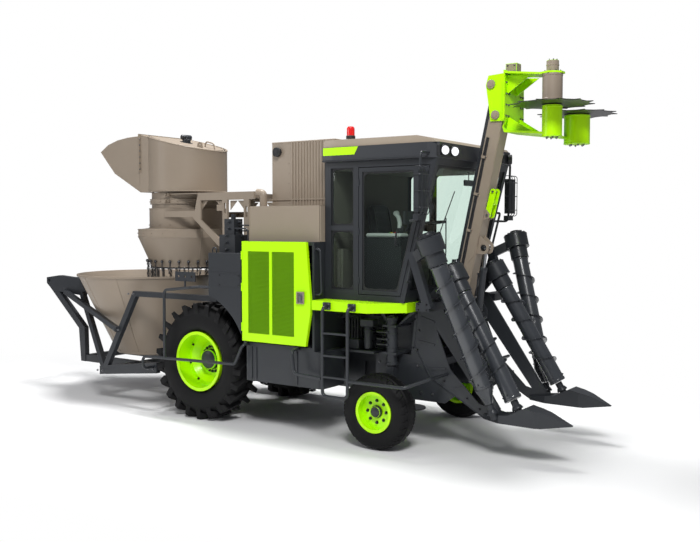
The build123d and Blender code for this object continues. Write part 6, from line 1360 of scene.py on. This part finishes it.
for hand in (1.0, -1.0):
    ribs.append(round_rod([ahead(0.88, hand * 0.113, 4.13), ahead(0.85, hand * 0.113, 4.03),
        ahead(0.91, hand * 0.113, 3.625)], 0.007, 8))
piece("topper_head_ribs", joined(*ribs), lime_enamel, "topper_head")
# Hardened steel is left bare: dark, with a dull gleam.
disc_steel = brushed_steel("hardened_disc_steel", "#3A3938", 0.4)
dress(disc_steel, "topper_disc_left", "topper_disc_right")
for name, spot, low in (("right", ROTOR, 3.722), ("left", TWIN, 3.692)):
    hub = [turned([(0.008, 0.02), (0.008, 0.1), (0.014, 0.105), (0.02, 0.1), (0.022, 0.02)], 36,
        spot + (0, 0, low), (0, 0, 1)), bolt_circle(spot + (0, 0, low + 0.021), (0, 0, 1), 0.08, 8, 0.016)]
    piece(f"disc_hub_{name}", joined(*hub), dark_steel, f"topper_disc_{name}")

# Lift cylinder: honed tube in charcoal paint with a screwed gland and two ports; its rod ground and
# hard-chromed.
# Ground chrome mirrors one bright line along the rod.
rod_chrome = brushed_steel("hard_chromed_rod", "#C9CBCE", 0.14)
dress(rod_chrome, "lift_rod")
lift_foot, lift_eye = ahead(LIFT_FOOT[0], 0.0, LIFT_FOOT[1]), up_boom(0.56, 0.15, 0.0)
lift_run = (lift_eye - lift_foot) / np.linalg.norm(lift_eye - lift_foot)
gland = [turned([(0.49, 0.036), (0.49, 0.0415), (0.495, 0.0435), (0.54, 0.0435), (0.545, 0.04),
    (0.5455, 0.028)], 30, lift_foot, lift_run), turned([(0.045, 0.036), (0.045, 0.0405), (0.05, 0.0425),
    (0.075, 0.0425), (0.08, 0.0405), (0.08, 0.036)], 30, lift_foot, lift_run)]
across = np.cross(lift_run, (0, 1, 0))
for along_tube in (0.1, 0.46):
    port = lift_foot + lift_run * along_tube + across * 0.036
    gland.append(turned([(0.0, 0.016), (0.02, 0.016), (0.022, 0.011), (0.034, 0.011), (0.036, 0.006)], 6,
        port, across))
gland.append(round_rod([lift_foot + lift_run * 0.1 + across * 0.058,
    lift_foot + lift_run * 0.46 + across * 0.058], 0.008, 10))
piece("lift_cylinder_gland", joined(*gland), charcoal_paint, "lift_barrel")

# Scrolls: seam-welded tube with its flight welded on, in a glossier charcoal coat that the cane keeps
# polished; each is bolted to the hub of its drive housing.
scroll_paint = sprayed_paint("charcoal_gloss_coat", "#3A3D42", "#33363A", 0.24, 0.3, 1.6, 380.0, 0.6)
HOUSING_HALF, MOTOR_LENGTH, RUNNING_GAP = 0.085, 0.14, 0.006
for name, hand in (("left", 1.0), ("right", -1.0)):
    housing_trim, housing_bolts = [], []
    for kind, top, foot in (("inner", (0.681, 0.531, 1.922), (1.493, 0.635, 0.552)),
            ("outer", (0.698, 1.09, 2.27), (1.26, 0.745, 0.5))):
        dress(scroll_paint, f"scroll_{kind}_{name}")
        low, high = ahead(foot[0], hand * foot[1], foot[2]), ahead(top[0], hand * top[1], top[2])
        length = np.linalg.norm(high - low)
        way = (high - low) / length
        tube_end = length - HOUSING_HALF - MOTOR_LENGTH - RUNNING_GAP
        across_way = np.cross(way, (0, 1, 0))
        tube_start = 0.29 if kind == "outer" else 0.11
        rings = [turned([(h - 0.012, 0.09), (h - 0.012, 0.0955), (h - 0.009, 0.097), (h + 0.009, 0.097),
            (h + 0.012, 0.0955), (h + 0.012, 0.09)], 36, low, way)
            for h in (tube_start + 0.02, tube_end - 0.014)]
        rings += [nut(0.018, low + way * (tube_start + 0.06) + side * 0.0915, side)
            for side in (across_way, -across_way, np.cross(way, across_way), -np.cross(way, across_way))]
        piece(f"scroll_{kind}_rings_{name}", joined(*rings), scroll_paint, f"scroll_{kind}_{name}")
        for h, r in ((length - 0.083, 0.1425), (length + 0.078, 0.1425), (length - 0.22, 0.1085)):
            housing_trim.append(turned([(-0.006, r - 0.01), (-0.006, r), (-0.003, r + 0.003),
                (0.003, r + 0.003), (0.006, r), (0.006, r - 0.01)], 40, low + way * h, way))
        cap = [(0.0, 0.02), (0.0, 0.1), (0.005, 0.104), (0.014, 0.104), (0.018, 0.07), (0.03, 0.06),
            (0.046, 0.058), (0.05, 0.03)]
        housing_trim.append(turned(cap, 36, low + way * (length + HOUSING_HALF), way))
        housing_bolts.append(bolt_circle(low + way * (length + HOUSING_HALF), way, 0.124, 10, 0.016))
        housing_bolts.append(bolt_circle(low + way * (length + 0.099), way, 0.086, 6, 0.013))
        for side in (across_way, -across_way):
            housing_trim.append(turned([(0.0, 0.014), (0.03, 0.014), (0.033, 0.009), (0.05, 0.009)], 6,
                low + way * (length + 0.115) + side * 0.045, side))
        housing_trim.append(turned([(0.0, 0.06), (0.01, 0.062), (0.02, 0.058), (0.045, 0.045)], 24, low,
            way))
    # Divider: edges rolled over a rod, pressed ribs and a bolted toe on the shoe.
    for line in ([(0.295, 1.52), (0.245, 1.13), (0.443, 0.793), (1.1, 0.414)],
            [(0.53, 1.655), (1.29, 0.525)]):
        housing_trim.append(round_rod([ahead(a, hand * 0.627, b) for a, b in line], 0.011, 8))
    for a0, b0, a1, b1 in ((0.33, 1.45, 0.5, 1.4), (0.3, 1.18, 0.5, 1.15), (0.42, 0.88, 0.64, 0.9),
            (0.72, 0.68, 0.88, 0.72)):
        rib = np.array((a1 - a0, b1 - b0))
        normal = np.array((-rib[1], rib[0])) / np.hypot(*rib) * 0.012
        corners = [(a0 + s * normal[0], b0 + s * normal[1])
            for s in (-1, 1)] + [(a1 + s * normal[0], b1 + s * normal[1]) for s in (1, -1)]
        housing_trim.append(side_plate(ahead, hand, 0.634, corners, 0.008))
    for a, b in ((0.42, 1.62), (0.5, 1.62), (0.33, 1.55), (0.3, 1.3), (0.28, 1.08), (0.62, 0.76),
            (0.9, 0.6), (1.05, 0.5)):
        housing_bolts.append(nut(0.02, ahead(a, hand * 0.634, b), (0, hand, 0)))
    for nose in (0.5, 0.6):
        for z in (1.57, 1.63):
            housing_bolts.append(nut(0.018, ahead(nose, hand * 1.005, z), (0, hand, 0)))
    piece(f"divider_trim_{name}", joined(*housing_trim), charcoal_paint, "chassis")
    piece(f"divider_bolts_{name}", joined(*housing_bolts), dark_steel, "chassis")

# Front frame pins: hardened and plated, each held by a keeper plate and two screws.
keepers = []
for nose, z in (BOOM_FOOT, LINK_FOOT, LIFT_FOOT):
    for hand in (1.0, -1.0):
        spot = ahead(nose, hand * 0.127, z)
        keepers.append(turned([(0.0, 0.03), (0.01, 0.03), (0.013, 0.026), (0.015, 0.01)], 24, spot,
            (0, hand, 0)))
        keepers += [nut(0.013, spot + (dx, 0.0, 0.0), (0, hand, 0)) for dx in (-0.04, 0.04)]
piece("front_frame_keepers", joined(*keepers), plated_steel, "chassis")

# Studio: a pale floor that reads as white, three soft area lamps and a 45 mm camera off the front
# right corner. None of it is part of the machine.
floor_white, floor_shader = new_material("studio_floor")
floor_shader.inputs["Base Color"].default_value = linear("#EDEDED")
floor_shader.inputs["Roughness"].default_value = 0.9
spot = add_node(floor_white, "ShaderNodeTexCoord")
narrow = add_node(floor_white, "ShaderNodeVectorMath", {1: (0.55, 1.0, 1.0)}, {0: spot.outputs["Object"]},
    operation="MULTIPLY")
away = add_node(floor_white, "ShaderNodeVectorMath", (), {0: narrow.outputs[0]}, operation="LENGTH")
fade = add_node(floor_white, "ShaderNodeMapRange", {"From Min": 2.2, "From Max": 4.4},
    {"Value": away.outputs["Value"]}, interpolation_type="SMOOTHSTEP")
path = add_node(floor_white, "ShaderNodeLightPath")
through = add_node(floor_white, "ShaderNodeMath", (),
    {0: path.outputs["Is Camera Ray"], 1: path.outputs["Is Transmission Ray"]}, operation="MAXIMUM")
share = add_node(floor_white, "ShaderNodeMath", (), {0: through.outputs[0], 1: fade.outputs["Result"]},
                 operation="MULTIPLY")
white = add_node(floor_white, "ShaderNodeEmission", {"Strength": 1.0})
blend = add_node(floor_white, "ShaderNodeMixShader", (),
                 {0: share.outputs[0], 1: floor_shader.outputs[0], 2: white.outputs[0]})
output = floor_white.node_tree.nodes["Material Output"]
floor_white.node_tree.links.new(blend.outputs[0], output.inputs["Surface"])
floor_mesh = bpy.data.meshes.new("studio_floor")
reach = 120.0
floor_mesh.from_pydata([(-reach, -reach, 0), (reach, -reach, 0), (reach, reach, 0), (-reach, reach, 0)], [],
    [(0, 1, 2, 3)])
floor_mesh.materials.append(floor_white)
floor = bpy.data.objects.new("studio_floor", floor_mesh)
bpy.context.scene.collection.objects.link(floor)

world = bpy.data.worlds.new("studio_air")
bpy.context.scene.world = world
world.use_nodes = True
air = world.node_tree
backdrop = air.nodes["Background"]
backdrop.inputs["Color"].default_value = (0.92, 0.94, 1.0, 1.0)
backdrop.inputs["Strength"].default_value = 0.24
bright = air.nodes.new("ShaderNodeBackground")
bright.inputs["Color"].default_value = (1.0, 1.0, 1.0, 1.0)
bright.inputs["Strength"].default_value = 1.0
path = air.nodes.new("ShaderNodeLightPath")
either = air.nodes.new("ShaderNodeMath")
either.operation = "MAXIMUM"
air.links.new(path.outputs["Is Camera Ray"], either.inputs[0])
air.links.new(path.outputs["Is Transmission Ray"], either.inputs[1])
choose = air.nodes.new("ShaderNodeMixShader")
air.links.new(either.outputs[0], choose.inputs[0])
air.links.new(backdrop.outputs[0], choose.inputs[1])
air.links.new(bright.outputs[0], choose.inputs[2])
air.links.new(choose.outputs[0], air.nodes["World Output"].inputs["Surface"])


def soft_lamp(name, place, aim, side, power):
    """A square area lamp of the given side at a place, its face turned to the aim point."""
    lamp = bpy.data.lights.new(name, "AREA")
    lamp.shape = "SQUARE"
    lamp.size = side
    lamp.energy = power
    holder = bpy.data.objects.new(name, lamp)
    holder.location = place
    holder.rotation_euler = (Vector(aim) - Vector(place)).to_track_quat("-Z", "Y").to_euler()
    bpy.context.scene.collection.objects.link(holder)


soft_lamp("lamp_key", (7.0, -8.0, 10.0), (0.0, 0.0, 1.2), 3.0, 1050.0)
soft_lamp("lamp_fill", (-8.0, -10.0, 6.0), (0.0, 0.0, 1.2), 5.0, 260.0)
soft_lamp("lamp_top", (-1.0, 1.0, 12.0), (0.0, 0.0, 1.0), 3.5, 1700.0)

view = bpy.data.cameras.new("studio_camera")
view.lens = 45.05
view.sensor_width = 36.0
viewer = bpy.data.objects.new("studio_camera", view)
viewer.location = (7.3679, -9.0872, 2.4875)
turn, tip = math.radians(34.504), math.radians(3.0818)
looking = Vector((-math.sin(turn) * math.cos(tip), math.cos(turn) * math.cos(tip), -math.sin(tip)))
viewer.rotation_euler = looking.to_track_quat("-Z", "Y").to_euler()
bpy.context.scene.collection.objects.link(viewer)
bpy.context.scene.camera = viewer
bpy.context.scene.view_settings.view_transform = "Standard"
